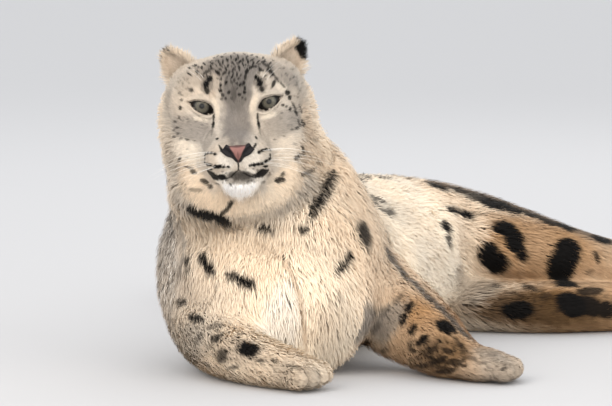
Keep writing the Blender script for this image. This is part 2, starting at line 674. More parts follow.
def foldSkin(mesh):
    points, normals = meshArrays(mesh)
    coat = coatAt(points, normals)
    shag = smoothStep(coat["length"], 0.024, 0.045) * (1 - coat["onHead"])
    stretched = points - 0.55 * rows(points, coat["flow"])[:, None] * coat["flow"]
    points += (shag * 2.6 * mm * waves(stretched, 0.024, 77, 11))[:, None] * normals
    for path, deep, wide in foldLines:
        line = [onBody(x, y)[0] for x, y in path]
        place, gap = pathPlace(points, line)
        ends = smoothStep(place, 0, 0.02) * smoothStep(-place, -place.max(), -place.max() + 0.02)
        sunk = ends * deep * mm * np.exp(-np.maximum(gap - 0.018, 0) ** 2 / (wide * mm) ** 2)
        points -= sunk[:, None] * normals
    setPoints(mesh, points)


skinMesh, outerTree = bodyForm()
refineFace(skinMesh)
settleHead(skinMesh)


def joinSkin():
    # the hide with its lids and ears as one mesh, and which points are ear
    parts = [(skinMesh, 0)] + [(lidMesh(side), 0) for side in (1, -1)] + [(earMesh(side), side) for side in (1, -1)]
    bm = bmesh.new()
    earSide = []
    for mesh, side in parts:
        bm.from_mesh(mesh)
        earSide += [side] * len(mesh.vertices)
    whole = finishMesh(bm, "skin")
    return whole, np.array(earSide)


def skinCoat(mesh, earSide):
    # the coat over the whole hide, ears and all, with what each tuft there takes from its place
    points, normals = meshArrays(mesh)
    coat = coatAt(points, normals)
    coat["mark"] = np.zeros(len(points))
    for side in (1, -1):
        mine = earSide == side
        toEar = np.array(earPlace(side).inverted())
        x, y, z = (np.c_[points[mine], np.ones(mine.sum())] @ toEar.T)[:, :3].T
        wide = earWide(x, side)
        sheet = ear["cup"] * (1 - (x / wide) ** 2) * (1 - 0.5 * z / ear["height"])
        front = smoothStep(sheet - y, -0.8, 0.8)
        back = 1 - smoothStep(sheet - y, -1.9, -0.9)
        rim = smoothStep(np.abs(x) / (wide * (1 - ear["taper"] * np.clip(z / 56, 0, 1) ** 2.6)), 0.60, 0.92)
        rim = np.maximum(rim, smoothStep(z, 38, 50))
        way = np.stack([0.035 * x, -0.2 * front, np.ones(len(x))], axis=1)
        flow = unit(way) @ np.array(earPlace(side).to_3x3().normalized()).T
        flow = flow - rows(flow, normals[mine])[:, None] * normals[mine]
        coat["flow"][mine] = unit(flow)
        coat["length"][mine] = (6.5 + 6 * rim * front * smoothStep(-z, -34, -16) + 1.5 * rim) * mm
        coat["depth"][mine] = (2.2 + 1.6 * rim * front) * mm
        coat["pale"][mine] = 0.26 + 0.44 * front * rim
        coat["tan"][mine] = 0.12 + 0.14 * front * (1 - rim)
        if side > 0:
            tip = smoothStep(z + 0.5 * x, 36, 39) * smoothStep(x, -7, -3)
        else:
            tip = 0.7 * smoothStep(z, 40, 44) * (1 - 0.8 * front)
        base = smoothStep(-z, -20, -9) * back * 0.9
        inside = 0.28 * front * (1 - rim) * smoothStep(-z, -34, -12)
        coat["mark"][mine] = np.maximum(np.maximum(tip, base), inside) + 0.001
    length = coat["length"] / mm
    coat["width"] = (0.50 + 0.014 * length) * mm
    coat["wander"] = 0.12 + 0.0014 * length
    coat["curl"] = 0.02 + 0.0018 * length
    coat["clump"] = 0.16 * smoothStep(length, 12, 34)
    besideFace, overFace = np.abs(coat["local"][:, 0]), coat["local"][:, 2]
    headEdge = coat["onHead"] * np.maximum(smoothStep(besideFace, 55, 80), 0.8 * smoothStep(overFace, 36, 60))
    gaps = [np.sum((points - np.array(spot)) ** 2, axis=1) for spot in fringeSpots]
    fringe = np.exp(-np.min(gaps, axis=0) / (2 * 0.030 ** 2)) * smoothStep(-normals[:, 2], -0.2, 0.5)
    coat["length"] = coat["length"] * (1 + 0.5 * fringe)
    coat["free"] = np.maximum.reduce([0.12 * smoothStep(length, 18, 45), 0.40 * headEdge, 0.9 * fringe]) + (earSide != 0)
    coat["length"] = coat["length"] * (1 - 0.22 * smoothStep(length, 30, 55))
    x, y, z = coat["local"].T
    over = z > face["eyeMiddle"][1] + 0.45 * (np.abs(x) - face["eyeMiddle"][0])
    lids = smoothStep(-lidShare(x, z) + 0.10 * over, -1.28, -1.18) * smoothStep(-y, -26, -20) * (coat["onHead"] > 0.9)
    lips = np.exp(-(np.minimum(*(lineGap(x, z, path) for path in mouthLines[:2])) / 1.5) ** 2) * (y < -4)
    philtrum = 0.8 * np.exp(-(lineGap(x, z, mouthLines[2]) / 1.0) ** 2) * (y < -4)
    coat["bare"] = np.clip(np.maximum(np.maximum(lids, lips), philtrum) * (earSide == 0), 0, 1)
    cover = (3.2 + 0.12 * length) / (length * coat["width"] / mm)
    place = np.array(cameraFrame()[0])
    facing = -rows(normals, unit(points - place))
    cover = cover * (0.72 + 0.75 * smoothStep(facing, -0.2, 0.3) * (points[:, 1] < 0.35))
    coat["share"] = cover * (coat["bare"] < 0.4)
    return coat


splitPaws(skinMesh)
foldSkin(skinMesh)
skinMesh, earSide = joinSkin()
skin = addObject("skin", skinMesh)
skinMesh.shade_smooth()
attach(skin, "root")
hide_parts(*fleshNodes)
unwrapSkin(skin)
skinParts = skinCoat(skinMesh, earSide)
print("skin:", len(skinMesh.polygons), "faces")


# Marks of the coat as the photo shows them: centre in its 612 by 406 pixels, half length,
# half width, turn in degrees from level, and how dark
bodyMarks = (
    (190, 212, 7, 4, -35, 1), (206, 218, 20, 5.6, -8, 1), (222, 223, 10, 6, -30, 1),
    (225, 211, 9, 2.4, 45, 0.9), (231, 203, 4, 2.4, 30, 0.95), (263, 230, 8.5, 4, -10, 0.95),
    (272, 234, 4, 2.4, -40, 0.85), (329, 184, 16, 5.4, 66, 1), (319, 203, 13, 5.6, 62, 1),
    (314, 213, 6, 4.6, 60, 1), (304, 230, 5.5, 4.2, 10, 1), (363, 230, 9, 7.5, -75, 0.95),
    (366, 240, 9, 6, -70, 0.92), (349, 258, 8, 4.2, 65, 1), (342, 268, 9, 4.2, 42, 1),
    (202, 260, 9, 5.4, -35, 1), (210, 269, 8, 5, -55, 1), (234, 277, 9, 4.6, -15, 1),
    (246, 283, 11, 6.2, -20, 1), (187, 262, 6, 2.8, 88, 0.9), (188, 272, 3.4, 2.6, 0, 0.9),
    (340, 297, 6, 3, -70, 0.35), (352, 288, 8, 3, 10, 0.22), (182, 303, 6, 3.4, 15, 0.9),
    (195, 318, 9, 4, -15, 0.95), (213, 324, 8, 3, 25, 0.6), (215, 337, 7, 3.8, 42, 0.9),
    (238, 333, 6, 1.4, 25, 0.5), (198, 338, 6, 3, 60, 0.6), (248, 349, 11, 8, -5, 1),
    (222, 356, 8, 6, 60, 0.85), (261, 361, 4, 1.8, 0, 0.9), (275, 361, 5, 1.4, -15, 0.85),
    (235, 367, 5, 2, 15, 0.8), (292, 366, 5, 1.6, -10, 0.5), (176, 345, 4, 3, 30, 0.6),
    (190, 362, 7, 2.4, -25, 0.6), (210, 347, 4, 2, 20, 0.5), (207, 365, 5, 2, -10, 0.6),
    (409, 308, 8, 4.2, 55, 1), (404, 319, 8, 3.6, 70, 1), (413, 329, 7, 3.6, 58, 1),
    (423, 340, 8, 3.8, 42, 1), (446, 327, 12, 6.2, -25, 1), (385, 350, 5, 2.4, 45, 0.85),
    (432, 350, 8, 3, 30, 0.85), (448, 351, 7, 3, -20, 0.8), (437, 361, 10, 3.6, 12, 0.9),
    (455, 362, 9, 3.2, 0, 0.8), (424, 366, 6, 3, 20, 0.7), (445, 371, 12, 3.2, 8, 0.85),
    (463, 349, 6, 2.4, -40, 0.7), (470, 358, 7, 2.2, -10, 0.55), (482, 363, 6, 1.8, 8, 0.45),
    (504, 368, 3.5, 1.8, 20, 0.8), (492, 355, 5, 1.6, -8, 0.35), (456, 340, 6, 2.2, -50, 0.6),
    (399, 299, 9, 2.8, 45, 0.6), (385, 313, 9, 3.0, 48, 0.5), (375, 328, 9, 3.0, 60, 0.5),
    (366, 343, 7, 3.0, 62, 0.45), (437, 186, 13, 6.2, -12, 1), (457, 190, 11, 6.6, -18, 0.9),
    (476, 196.5, 13, 7.8, -20, 0.9), (496, 203.5, 18, 8.8, -16, 1), (514, 209.5, 10, 6, -20, 1),
    (531, 215, 12, 4.0, -24, 0.95), (547, 221.5, 13, 4.0, -24, 0.95), (566, 227, 12, 6, -20, 1),
    (602, 239, 11, 5.8, -15, 1),
    (454, 211, 9, 4.2, -10, 1), (466, 215, 8, 4, -25, 1), (446, 227, 8, 5, -50, 1),
    (449, 239, 8, 3.4, -80, 0.9), (489, 256, 12.5, 12, -30, 1), (497, 264, 12.5, 12, -30, 1),
    (504, 228, 13, 7.4, -6, 1), (514, 239, 15, 10.5, -62, 1), (521.5, 252, 11, 6.4, -72, 1),
    (568, 251, 15, 14, 60, 1), (563, 268, 14.5, 13, 60, 1), (565, 259, 23, 14.5, 62, 1), (597, 257, 7, 2.8, -75, 0.9), (590, 272, 5, 2.4, 20, 0.5),
    (518, 310, 17, 9, 3, 1), (571, 304, 17, 12, -20, 1), (590, 306, 13, 10, -25, 0.95),
    (590, 291, 14, 5, 5, 0.9), (530, 288, 9, 3, -20, 0.85), (474, 302, 6, 3, 60, 0.6),
    (606, 310, 10, 9, 0, 0.95), (480, 290, 8, 2, -45, 0.3), (545, 296, 7, 3, 10, 0.6),
)
crownDashes = (
    (196, 66), (200, 61), (204, 64), (206, 59), (209, 57), (212, 63), (211, 67), (214, 58), (218, 56), (219, 62),
    (222, 57), (223, 62), (227, 60), (228, 66), (231, 57), (233, 63), (236, 60), (238, 57), (240, 62), (243, 60),
    (243, 65), (247, 57), (248, 62), (252, 60), (253, 64), (257, 57), (258, 62), (263, 58), (264, 62), (270, 64),
    (195, 67), (197, 72), (190, 75), (225, 54), (234, 53), (244, 54), (252, 55), (216, 53), (208, 54), (260, 54),
    (226, 69), (233, 70), (239, 68), (229, 73), (237, 74), (221, 66), (202, 68), (268, 68), (232, 77), (190, 69),
)
faceMarks = (
    (207, 85, 9, 4.6, 76, 0.42), (209.3, 79.5, 4, 2.2, 62, 1), (206.3, 84.5, 4.4, 2.6, 84, 1),
    (206.8, 90.5, 3.6, 2.2, 105, 0.95), (260, 83.5, 9, 4.6, 112, 0.42), (257, 78, 3.8, 2.2, 118, 1),
    (259.6, 83, 4.2, 2.6, 108, 1), (262, 88.5, 3.4, 2.1, 100, 0.95), (273.8, 83.5, 4.6, 1.5, 68, 0.9), (191.3, 90, 2, 1.4, 20, 0.85),
    (206, 72.5, 4.4, 1.1, 32, 0.8), (211, 69, 3, 1.0, 8, 0.6), (217.5, 72.5, 3.4, 1.3, -45, 0.95),
    (221, 79.5, 2, 1.0, 85, 0.8), (220.5, 85, 2.2, 1.2, 85, 0.95), (220.5, 90.5, 1.8, 1.4, 30, 0.95),
    (222.5, 95, 1.5, 1.4, 0, 0.9), (221.5, 99, 1.6, 1.1, 0, 0.75), (225.5, 98.5, 1.1, 1.0, 0, 0.8),
    (224.5, 73, 3, 1.2, 42, 0.85), (225.8, 83, 2.4, 1.3, 80, 0.95), (227, 77.5, 1.6, 1.0, 60, 0.6),
    (229, 92.3, 1.8, 1.3, 55, 0.9), (231.5, 82, 2.4, 0.9, 110, 0.6), (234, 80, 1.8, 1.0, 60, 0.7),
    (236.8, 83.5, 1.8, 1.1, 120, 0.8), (240.2, 84.8, 1.6, 1.2, 90, 0.95), (239.5, 94.5, 1.8, 1.3, 0, 0.95),
    (239.8, 78, 1.4, 0.8, 90, 0.5), (244, 83, 2.4, 1.2, 80, 0.9), (244.8, 88, 2, 1.2, 95, 0.9),
    (244.3, 92.3, 1.6, 1.2, 60, 0.95), (242.5, 97.5, 1.2, 1.0, 0, 0.7), (245.5, 99, 1.4, 0.9, -20, 0.7),
    (234, 93.5, 7, 2.2, 92, 0.42), (231.5, 98, 1.6, 0.9, 90, 0.6), (237, 88.5, 1.4, 0.9, 60, 0.6),
    (245.3, 77, 3.4, 1.1, 84, 0.85), (246.8, 71.5, 3.2, 1.4, 62, 0.95), (250.5, 68, 2.6, 1.2, 35, 0.9),
    (255, 66.7, 2.8, 1.0, -8, 0.85), (260, 69.5, 2.4, 1.4, -35, 0.95), (264.5, 65, 4.5, 0.9, -42, 0.8),
    (270.5, 72.5, 5, 1.3, -45, 0.95), (276.5, 79, 3.6, 0.9, -48, 0.8), (282.5, 85, 3.6, 0.9, -48, 0.8),
    (287.5, 92.5, 2.6, 1.9, 10, 0.95), (290, 97.5, 2.2, 1.4, -75, 0.95), (283, 105, 2, 1.3, 0, 0.8),
    (286.5, 106.5, 1.3, 1.1, 0, 0.75), (290.3, 109, 2.2, 1.2, 80, 0.9), (294.5, 106, 4.5, 1.0, -62, 0.85),
    (297, 112.5, 3.8, 1.3, -62, 0.95), (303, 108, 4.2, 1.0, -64, 0.85), (300.5, 120.5, 2.8, 1.2, -70, 0.8),
    (305.5, 122, 5, 1.3, -66, 0.95), (301.5, 124.5, 2.2, 1.1, -70, 0.8), (298, 128, 2.4, 1.2, 20, 0.8),
    (292.5, 129.5, 2, 0.9, 0, 0.7), (298.5, 97, 1.2, 0.9, 0, 0.5), (282, 113, 1.6, 0.9, 0, 0.5),
    (180, 108, 2.3, 1.4, 90, 0.9), (181.5, 100, 1.6, 1.2, 0, 0.7), (180, 93, 1.4, 1.0, 0, 0.5),
    (178.5, 118, 2, 1.2, 90, 0.75), (173, 121.5, 2.2, 1.0, 10, 0.7), (175.5, 127.5, 2.4, 1.0, 0, 0.75),
    (176, 133.5, 2, 1.2, 20, 0.7), (171, 137, 2, 1.1, 20, 0.7), (180.5, 138.5, 1.6, 1.0, 0, 0.5),
    (187, 139.5, 2.2, 0.9, -10, 0.75), (194.5, 141, 1.6, 0.9, 0, 0.55), (187, 149, 1.8, 1.0, 0, 0.3),
    (187, 158, 2, 1.0, 0, 0.35), (171.5, 130, 1.8, 1.0, 60, 0.6), (296, 144, 2.4, 1.6, 0, 0.35),
    (317, 140, 3, 2.4, 60, 0.35), (274.5, 139.5, 1.8, 1.2, 0, 0.5), (284, 136, 2, 0.9, -20, 0.45),
    (178, 160, 3, 1.7, 60, 0.85), (187, 167.5, 5, 1.2, -8, 0.8), (192.5, 171.5, 4, 2.2, -30, 0.85),
    (204, 182, 4.4, 2.4, -35, 0.9), (209.5, 186.5, 3.6, 2.4, -35, 0.85), (195, 190, 8.5, 2, -6, 0.5),
    (305, 149, 3.4, 1.7, 105, 0.9), (307, 153.5, 2.4, 1.6, 110, 0.8), (299, 157.5, 5, 2.2, 33, 0.85),
    (280.5, 180, 4.6, 3.2, 10, 0.95), (283.5, 174, 2.8, 1.6, 70, 0.85), (312, 171, 8.5, 2, 28, 0.75),
    (303, 195, 6, 1.4, -20, 0.4), (320, 164, 3.5, 1.8, 40, 0.6), (176, 190, 4, 2, 80, 0.3),
    (219.8, 147.2, 3.4, 1.2, -62, 1), (222.5, 151.5, 3.6, 1.5, -50, 1), (255.0, 146.0, 3.4, 1.2, 62, 1),
    (252.3, 150.5, 3.6, 1.5, 50, 1), (212.6, 124.5, 4.4, 1.5, 80, 1), (213.2, 117, 4.6, 1.3, 88, 0.9),
    (259, 124, 4.2, 1.6, 102, 1), (258.2, 116.5, 4.8, 1.3, 93, 0.9), (212, 131, 5, 1.1, 78, 0.45),
    (260, 130, 5, 1.1, 100, 0.45), (217, 138.5, 2.2, 1.4, -5, 0.95), (256.2, 137.5, 2.2, 1.5, 115, 0.95),
    (207, 135, 7, 1.0, 60, 0.28), (264, 134, 6, 0.9, 118, 0.22), (201, 128, 6, 0.9, -4, 0.16),
    (205.3, 154.6, 1.4, 1.1, 40, 0.95), (207.8, 153, 1.5, 1.2, 0, 0.95), (211.4, 152.8, 1.4, 1.2, 0, 0.95),
    (215.2, 154.3, 1.4, 1.2, -60, 0.85), (205.2, 158.4, 1.2, 0.9, 90, 0.75), (205, 162.3, 1.5, 1.2, -30, 0.9),
    (207.9, 164.3, 1.7, 1.3, -20, 0.95), (210.6, 164.8, 1.4, 1.2, 0, 0.95), (211.3, 169.2, 2.4, 1.2, 20, 0.95),
    (215.4, 166.6, 2.4, 1.4, 12, 0.95), (219.5, 166.4, 2.2, 1.4, 10, 0.95), (223.6, 167, 1.6, 1.1, 0, 0.9),
    (228, 167, 1.4, 0.9, 0, 0.8), (222.5, 171.5, 1.2, 0.9, 0, 0.6), (226, 173.2, 1.1, 0.8, 0, 0.6),
    (259.2, 152, 1.4, 1.2, 0, 0.95), (262.6, 150.6, 1.5, 1.2, 0, 0.95), (266.2, 149.4, 1.7, 1.3, 0, 0.95),
    (270, 150, 1.4, 1.0, 0, 0.85), (270, 155, 1.2, 0.9, 60, 0.85), (269.3, 158.6, 1.7, 1.1, 40, 0.9),
    (266.2, 161.2, 2, 1.3, 35, 0.95), (262, 163.4, 1.9, 1.3, 15, 0.95), (258, 164.1, 1.7, 1.2, 0, 0.95),
    (254.3, 165, 1.6, 1.1, 0, 0.9), (250.2, 165.4, 1.4, 1.0, 0, 0.9), (265.5, 166.3, 1.9, 0.9, 0, 0.8),
    (253.5, 169, 1.2, 0.8, 0, 0.6), (257.5, 170, 1.4, 0.8, 0, 0.7), (246, 169, 1.0, 0.7, 0, 0.45),
    (212.5, 175, 8.2, 4.6, -34, 1), (219.5, 177.6, 6.5, 3.2, -8, 1), (262.5, 173.3, 7.6, 4.6, 22, 1),
    (257, 176, 4.5, 2.4, 8, 0.95), (230, 184.8, 2.4, 1.1, -65, 0.9), (233.4, 183, 1.5, 0.9, 0, 0.6),
    (248.4, 181.4, 1.8, 1.0, 20, 0.75), (251.6, 180.8, 1.3, 0.9, 0, 0.7), (255, 182.3, 1.2, 0.8, 0, 0.55),
    (227, 180.6, 1.5, 0.8, 0, 0.6), (222.5, 183, 1.5, 0.8, 0, 0.5), (235.5, 179.5, 1.6, 0.8, 0, 0.5),
    (252.5, 187.5, 1.4, 1.0, 0, 0.35), (240, 175.5, 13, 4.8, 0, 0.55), (241, 180.5, 14, 4.2, 0, 0.32),
    (236, 178, 1.3, 0.8, 0, 0.8), (244, 178.5, 1.3, 0.8, 0, 0.8), (231, 177.5, 1.2, 0.8, 0, 0.7), (240, 183.5, 1.2, 0.8, 0, 0.6),
    (216, 184.5, 2.2, 1.2, -20, 0.55), (264, 182.5, 2.6, 1.8, 30, 0.55),
)
# Patches of fur of another tone: centre, half length, half width, turn, then how cream, how tan,
# how white and how deep
tonePatches = (
    (237, 64, 50, 17, 0, 0.06, 0.03, 0.00, 0.50), (186, 80, 16, 10, 50, 0.24, 0.05, 0.00, 0.24),
    (290, 80, 20, 11, -42, 0.16, 0.06, 0.00, 0.32), (300, 100, 16, 9, -68, 0.34, 0.12, 0.00, 0.14),
    (237, 123, 36, 17, 90, 0.00, 0.00, 0.00, 0.44), (236, 90, 24, 17, 90, 0.02, 0.00, 0.00, 0.61),
    (188, 128, 27, 15, -8, 0.16, 0.03, 0.00, 0.25), (285, 122, 28, 16, 12, 0.20, 0.05, 0.00, 0.26),
    (207, 142, 13, 5, 62, 0.24, 0.05, 0.00, 0.26), (266, 139, 13, 5, 118, 0.24, 0.05, 0.00, 0.24),
    (212, 83, 12, 8, 82, 0.22, 0.08, 0.00, 0.24), (264, 80, 13, 9, 98, 0.30, 0.08, 0.00, 0.14),
    (282, 86, 7, 5, -45, 0.48, 0.00, 0.02, 0.08), (212, 94, 6, 4, 80, 0.26, 0.18, 0.00, 0.20),
    (215, 107, 12, 3.4, 105, 0.56, 0.06, 0.00, 0.10), (254, 103, 12, 3.6, 76, 0.56, 0.06, 0.00, 0.10),
    (200, 118.5, 9, 3.0, -8, 0.46, 0.00, 0.00, 0.10), (269, 115, 9, 3.6, 15, 0.48, 0.00, 0.00, 0.08),
    (196, 96.5, 8, 3.0, 12, 0.30, 0.02, 0.00, 0.14), (268, 91, 9, 2.6, -8, 0.32, 0.03, 0.00, 0.14),
    (184, 152, 21, 12, -15, 0.70, 0.06, 0.10, 0.02), (293, 147, 26, 13, 22, 0.58, 0.12, 0.08, 0.04),
    (226, 160, 13, 8.5, -20, 0.60, 0.00, 0.30, 0.20), (250, 160, 13, 8.5, 20, 0.62, 0.00, 0.24, 0.14),
    (211, 151, 8, 6, 60, 0.42, 0.14, 0.05, 0.14), (264, 147, 8, 6, 120, 0.42, 0.16, 0.05, 0.14),
    (238, 209, 56, 12, 0, 0.84, 0.30, 0.00, 0.08), (186, 184, 24, 17, -60, 0.80, 0.30, 0.00, 0.02),
    (293, 182, 28, 18, 40, 0.84, 0.30, 0.00, 0.02), (292, 374, 28, 13, -20, 0.62, 0.22, 0.00, 0.14), (232, 350, 36, 15, -14, 0.60, 0.30, 0.00, 0.16),
    (240, 193.5, 22, 8.8, 0, 1.00, 0.00, 1.00, 0.00), (240, 183, 20, 3.4, 0, 0.60, 0.00, 0.30, 0.34), (226, 175, 8, 4, 0, 0.80, 0.00, 0.35, 0.14),
    (251, 173, 8, 3.4, 0, 0.80, 0.00, 0.35, 0.14), (241, 177.5, 15, 5.6, 0, 0.22, 0.00, 0.00, 0.66),
    (313, 122, 24, 8, -74, 0.60, 0.34, 0.00, 0.06), (318, 160, 20, 12, -70, 0.74, 0.34, 0.00, 0.04),
    (166, 258, 62, 15, 90, 0.12, 0.00, 0.00, 0.00), (188, 346, 26, 24, 0, 0.36, 0.10, 0.00, 0.16),
    (282, 325, 42, 22, 80, 0.94, 0.00, 0.32, 0.13), (336, 336, 36, 22, 70, 0.82, 0.16, 0.00, 0.12),
    (545, 245, 75, 34, -14, 0.40, 0.80, 0.00, 0.12), (470, 235, 16, 34, -20, 0.80, 0.35, 0.00, 0.00),
    (440, 262, 42, 26, -50, 0.94, 0.00, 0.08, 0.14), (404, 214, 26, 16, -20, 0.94, 0.04, 0.04, 0.20),
    (545, 308, 92, 21, 0, 0.25, 0.90, 0.00, 0.79), (480, 291, 24, 15, 20, 0.50, 0.24, 0.00, 0.34),
    (425, 320, 30, 16, -40, 0.50, 0.80, 0.00, 0.02), (442, 352, 28, 17, 0, 0.34, 0.80, 0.00, 0.54),
    (500, 362, 26, 12, -10, 0.34, 0.20, 0.00, 0.22), (388, 324, 28, 14, 55, 0.24, 0.14, 0.00, 0.36),
)
toneLines = (        # the same along a path: its half width, then its tones
    (((360, 182), (368, 193), (376, 211), (384.5, 230), (391, 247), (398.5, 262), (414, 284)), 3.6,
     (0.10, 0.10, 0.00, 0.62)),
    (((415, 284), (425, 294), (437, 305), (448, 316), (458, 327), (470, 340)), 3.6, (0.12, 0.25, 0.00, 0.62)),
    (((428, 181.5), (455, 186), (485, 195), (515, 205.5), (545, 218), (575, 229), (612, 241)), 8.5,
     (0.22, 0.50, 0.00, 0.60)),
    (((171, 209), (183, 236), (185, 258), (180, 278), (174, 294)), 2.4, (0.22, 0.05, 0.00, 0.28)),
    (((258, 246), (278, 257), (292, 275), (300, 300), (304, 330), (307, 352)), 2.6, (0.76, 0.34, 0.00, 0.08)),
)


def toPixels(points):
    place, right, up, ahead = (np.array(part) for part in cameraFrame())
    focal = photo["distance"] / photo["metresPerPixel"]
    offset = points - place
    deep = offset @ ahead
    return photo["width"] / 2 + focal * (offset @ right) / deep, photo["height"] / 2 - focal * (offset @ up) / deep


def ellipseOn(x, y, halfLength, halfWidth, turn):
    # an ellipse of the photo laid on the coat: its centre, two half axes and the way out
    spot, normal, way, scale = onBody(x, y)
    _, right, up, ahead = cameraFrame()
    lean = max(-normal.dot(way), 0.55)
    axes = []
    for angle, size in ((math.radians(turn), halfLength), (math.radians(turn + 90), halfWidth)):
        flat = right * math.cos(angle) + up * math.sin(angle)
        axes.append(np.array(flat + way * (flat.dot(normal) / lean)) * size * scale)
    return np.array(spot), axes[0], axes[1], np.array(normal)


def distanceIn(ellipse, points, most):
    # which points are near an ellipse, and how far out they are: 1 at its rim
    centre, longAxis, wideAxis, normal = ellipse
    reach = most * max(np.linalg.norm(longAxis), np.linalg.norm(wideAxis)) + 0.004
    offset = points - centre
    near = np.flatnonzero((np.abs(offset) < reach).all(1))
    offset = offset[near]
    gram = np.array([[longAxis @ longAxis, longAxis @ wideAxis], [longAxis @ wideAxis, wideAxis @ wideAxis]])
    share = np.stack([offset @ longAxis, offset @ wideAxis], axis=1) @ np.linalg.inv(gram)
    return near, np.linalg.norm(share, axis=1), np.arctan2(share[:, 1], share[:, 0]), offset @ normal


def linePieces(path, halfWidth):
    # a drawn line as short ellipses that overlap
    for (ax, ay), (bx, by) in zip(path, path[1:]):
        turn = math.degrees(math.atan2(ay - by, bx - ax))
        yield ((ax + bx) / 2, (ay + by) / 2, math.hypot(bx - ax, by - ay) * 0.75, halfWidth, turn, 0.95)


whiskerDots = tuple((x, y, a * 1.4, b * 1.45, turn, 1) for x, y, a, b, turn, depth in faceMarks
                    if 148 < y < 168.5 and 204 < x < 272 and b < 1.5)
browDashes = tuple((x, y, a * 1.1, b * 1.3, turn, depth) for x, y, a, b, turn, depth in faceMarks
                   if y < 102 or abs(x - 236) > 49 and y < 142)
fleckFields = (      # fine flecks strewn over a patch: the patch, how many, their half length and how dark
    (290, 76, 20, 8, -44, 34, 1.5, 0.6), (187, 80, 15, 8, 48, 26, 1.4, 0.5), (303, 108, 18, 6, -66, 16, 1.5, 0.5),
    (196, 345, 38, 20, -12, 46, 1.9, 0.6), (165, 262, 9, 62, 0, 46, 1.5, 0.45), (437, 354, 28, 14, 0, 84, 2.6, 1.0),
    (484, 361, 24, 8, -8, 34, 1.5, 0.6), (388, 326, 22, 9, 55, 22, 1.6, 0.5), (552, 303, 55, 12, 0, 34, 2.6, 0.6),
    (250, 352, 40, 12, -18, 22, 1.6, 0.4), (235, 68, 38, 11, 0, 74, 1.6, 0.85), (283, 118, 16, 12, 0, 20, 1.4, 0.35),
    (190, 125, 16, 12, 0, 20, 1.4, 0.35), (545, 215, 60, 5, -20, 26, 2.2, 0.6),
)


def strewn():
    rng = np.random.default_rng(21)
    for x, y, wide, high, turn, number, size, depth in fleckFields:
        lean = math.radians(turn)
        for a, b in rng.uniform(-1, 1, (number, 2)) * (wide, high):
            px, py = x + a * math.cos(lean) + b * math.sin(lean), y - a * math.sin(lean) + b * math.cos(lean)
            long, thin = size * rng.uniform(0.7, 1.4), size * rng.uniform(0.35, 0.65)
            yield (px, py, long, thin, rng.uniform(0, 180), depth * rng.uniform(0.6, 1.0))


drawn = bodyMarks + faceMarks + whiskerDots + browDashes + tuple(strewn())
for path in mouthLines:
    drawn += tuple(linePieces(path, 0.75))
for number, (x, y) in enumerate(crownDashes):
    lean = (x - 237) * -1.1 + (35, -20, 10, -40, 0)[number % 5]
    drawn += ((x, y, (2.6, 2.0, 3.0)[number % 3], (1.1, 1.3, 0.9)[number % 3], 90 + lean, (0.95, 0.85)[number % 2]),)
seenMarks = [(ellipseOn(*row[:5]), row[5], 0) for row in drawn]
tones = [(ellipseOn(*row[:5]), row[5:]) for row in tonePatches]
for path, halfWidth, values in toneLines:
    tones += [(ellipseOn(*piece[:5]), values) for piece in linePieces(path, halfWidth)]

# Marks where the photo doesn't show the animal: spacing, half length and kind by place
hiddenMarks = {"tries": 9000, "clear": 30 * mm, "tailBands": 0.074}


def alongTail(points):
    return pathPlace(points, [row[0] for row in limbGuides["tail"]] + [(0.035, 0.550, 0.032)])


def scatterMarks(points, normals, coat):
    # rosettes on the back and flanks and solid spots on the legs, with even gaps
    rng = np.random.default_rng(11)
    place, _, _, ahead = (np.array(part) for part in cameraFrame())
    picks = rng.choice(len(points), hiddenMarks["tries"], replace=False)
    kept, made = [], []
    known = np.array([ellipse[0] for ellipse, _, _ in seenMarks])
    tailPlace, tailGap = alongTail(points[picks])
    for pick, toTail in zip(picks, tailGap):
        spot, normal = points[pick], normals[pick]
        hair = coat["length"][pick]
        inFace = coat["onHead"][pick] > 0.5 and coat["local"][pick][1] < 40
        onToes = any(near[0] and along[0] > 0.3 for along, _, near in (alongPaw(spot[None], name) for name in paws))
        if toTail < 0.06 or coat["mark"][pick] > 0 or inFace or onToes:
            continue
        x, y = (value[0] for value in toPixels(spot[None]))
        facing = (spot - place) / np.linalg.norm(spot - place)
        if -normal @ facing > -0.25 and x < photo["width"] + 8:
            hit = outerTree.ray_cast(Vector(place), Vector(facing))[0]
            if hit is None or (np.array(hit) - spot) @ facing > -0.08:
                continue
        pale = coat["pale"][pick]
        if pale > 0.93 or spot[2] < 0.012:
            continue
        legs = smoothStep(-hair, -0.026, -0.018)
        size = rng.uniform(0.85, 1.2) * (0.021 * (1 - legs) + 0.0115 * legs)
        if coat["onHead"][pick] > 0.2:
            size = rng.uniform(0.006, 0.009)
        gap = 2.75 * size + 0.004
        if kept and np.min(np.linalg.norm(np.array(kept) - spot, axis=1)) < gap:
            continue
        if np.min(np.linalg.norm(known - spot, axis=1)) < size + hiddenMarks["clear"] * 0.6:
            continue
        kept.append(spot)
        along = coat["flow"][pick] + rng.normal(0, 0.35, 3)
        along = along - along @ normal * normal
        along = along / np.linalg.norm(along)
        across = np.cross(normal, along)
        ring = 1 if size > 0.017 else 0
        made.append(((spot, along * size * 1.15, across * size * 0.82, normal), rng.uniform(0.82, 1.0), ring))
    return made


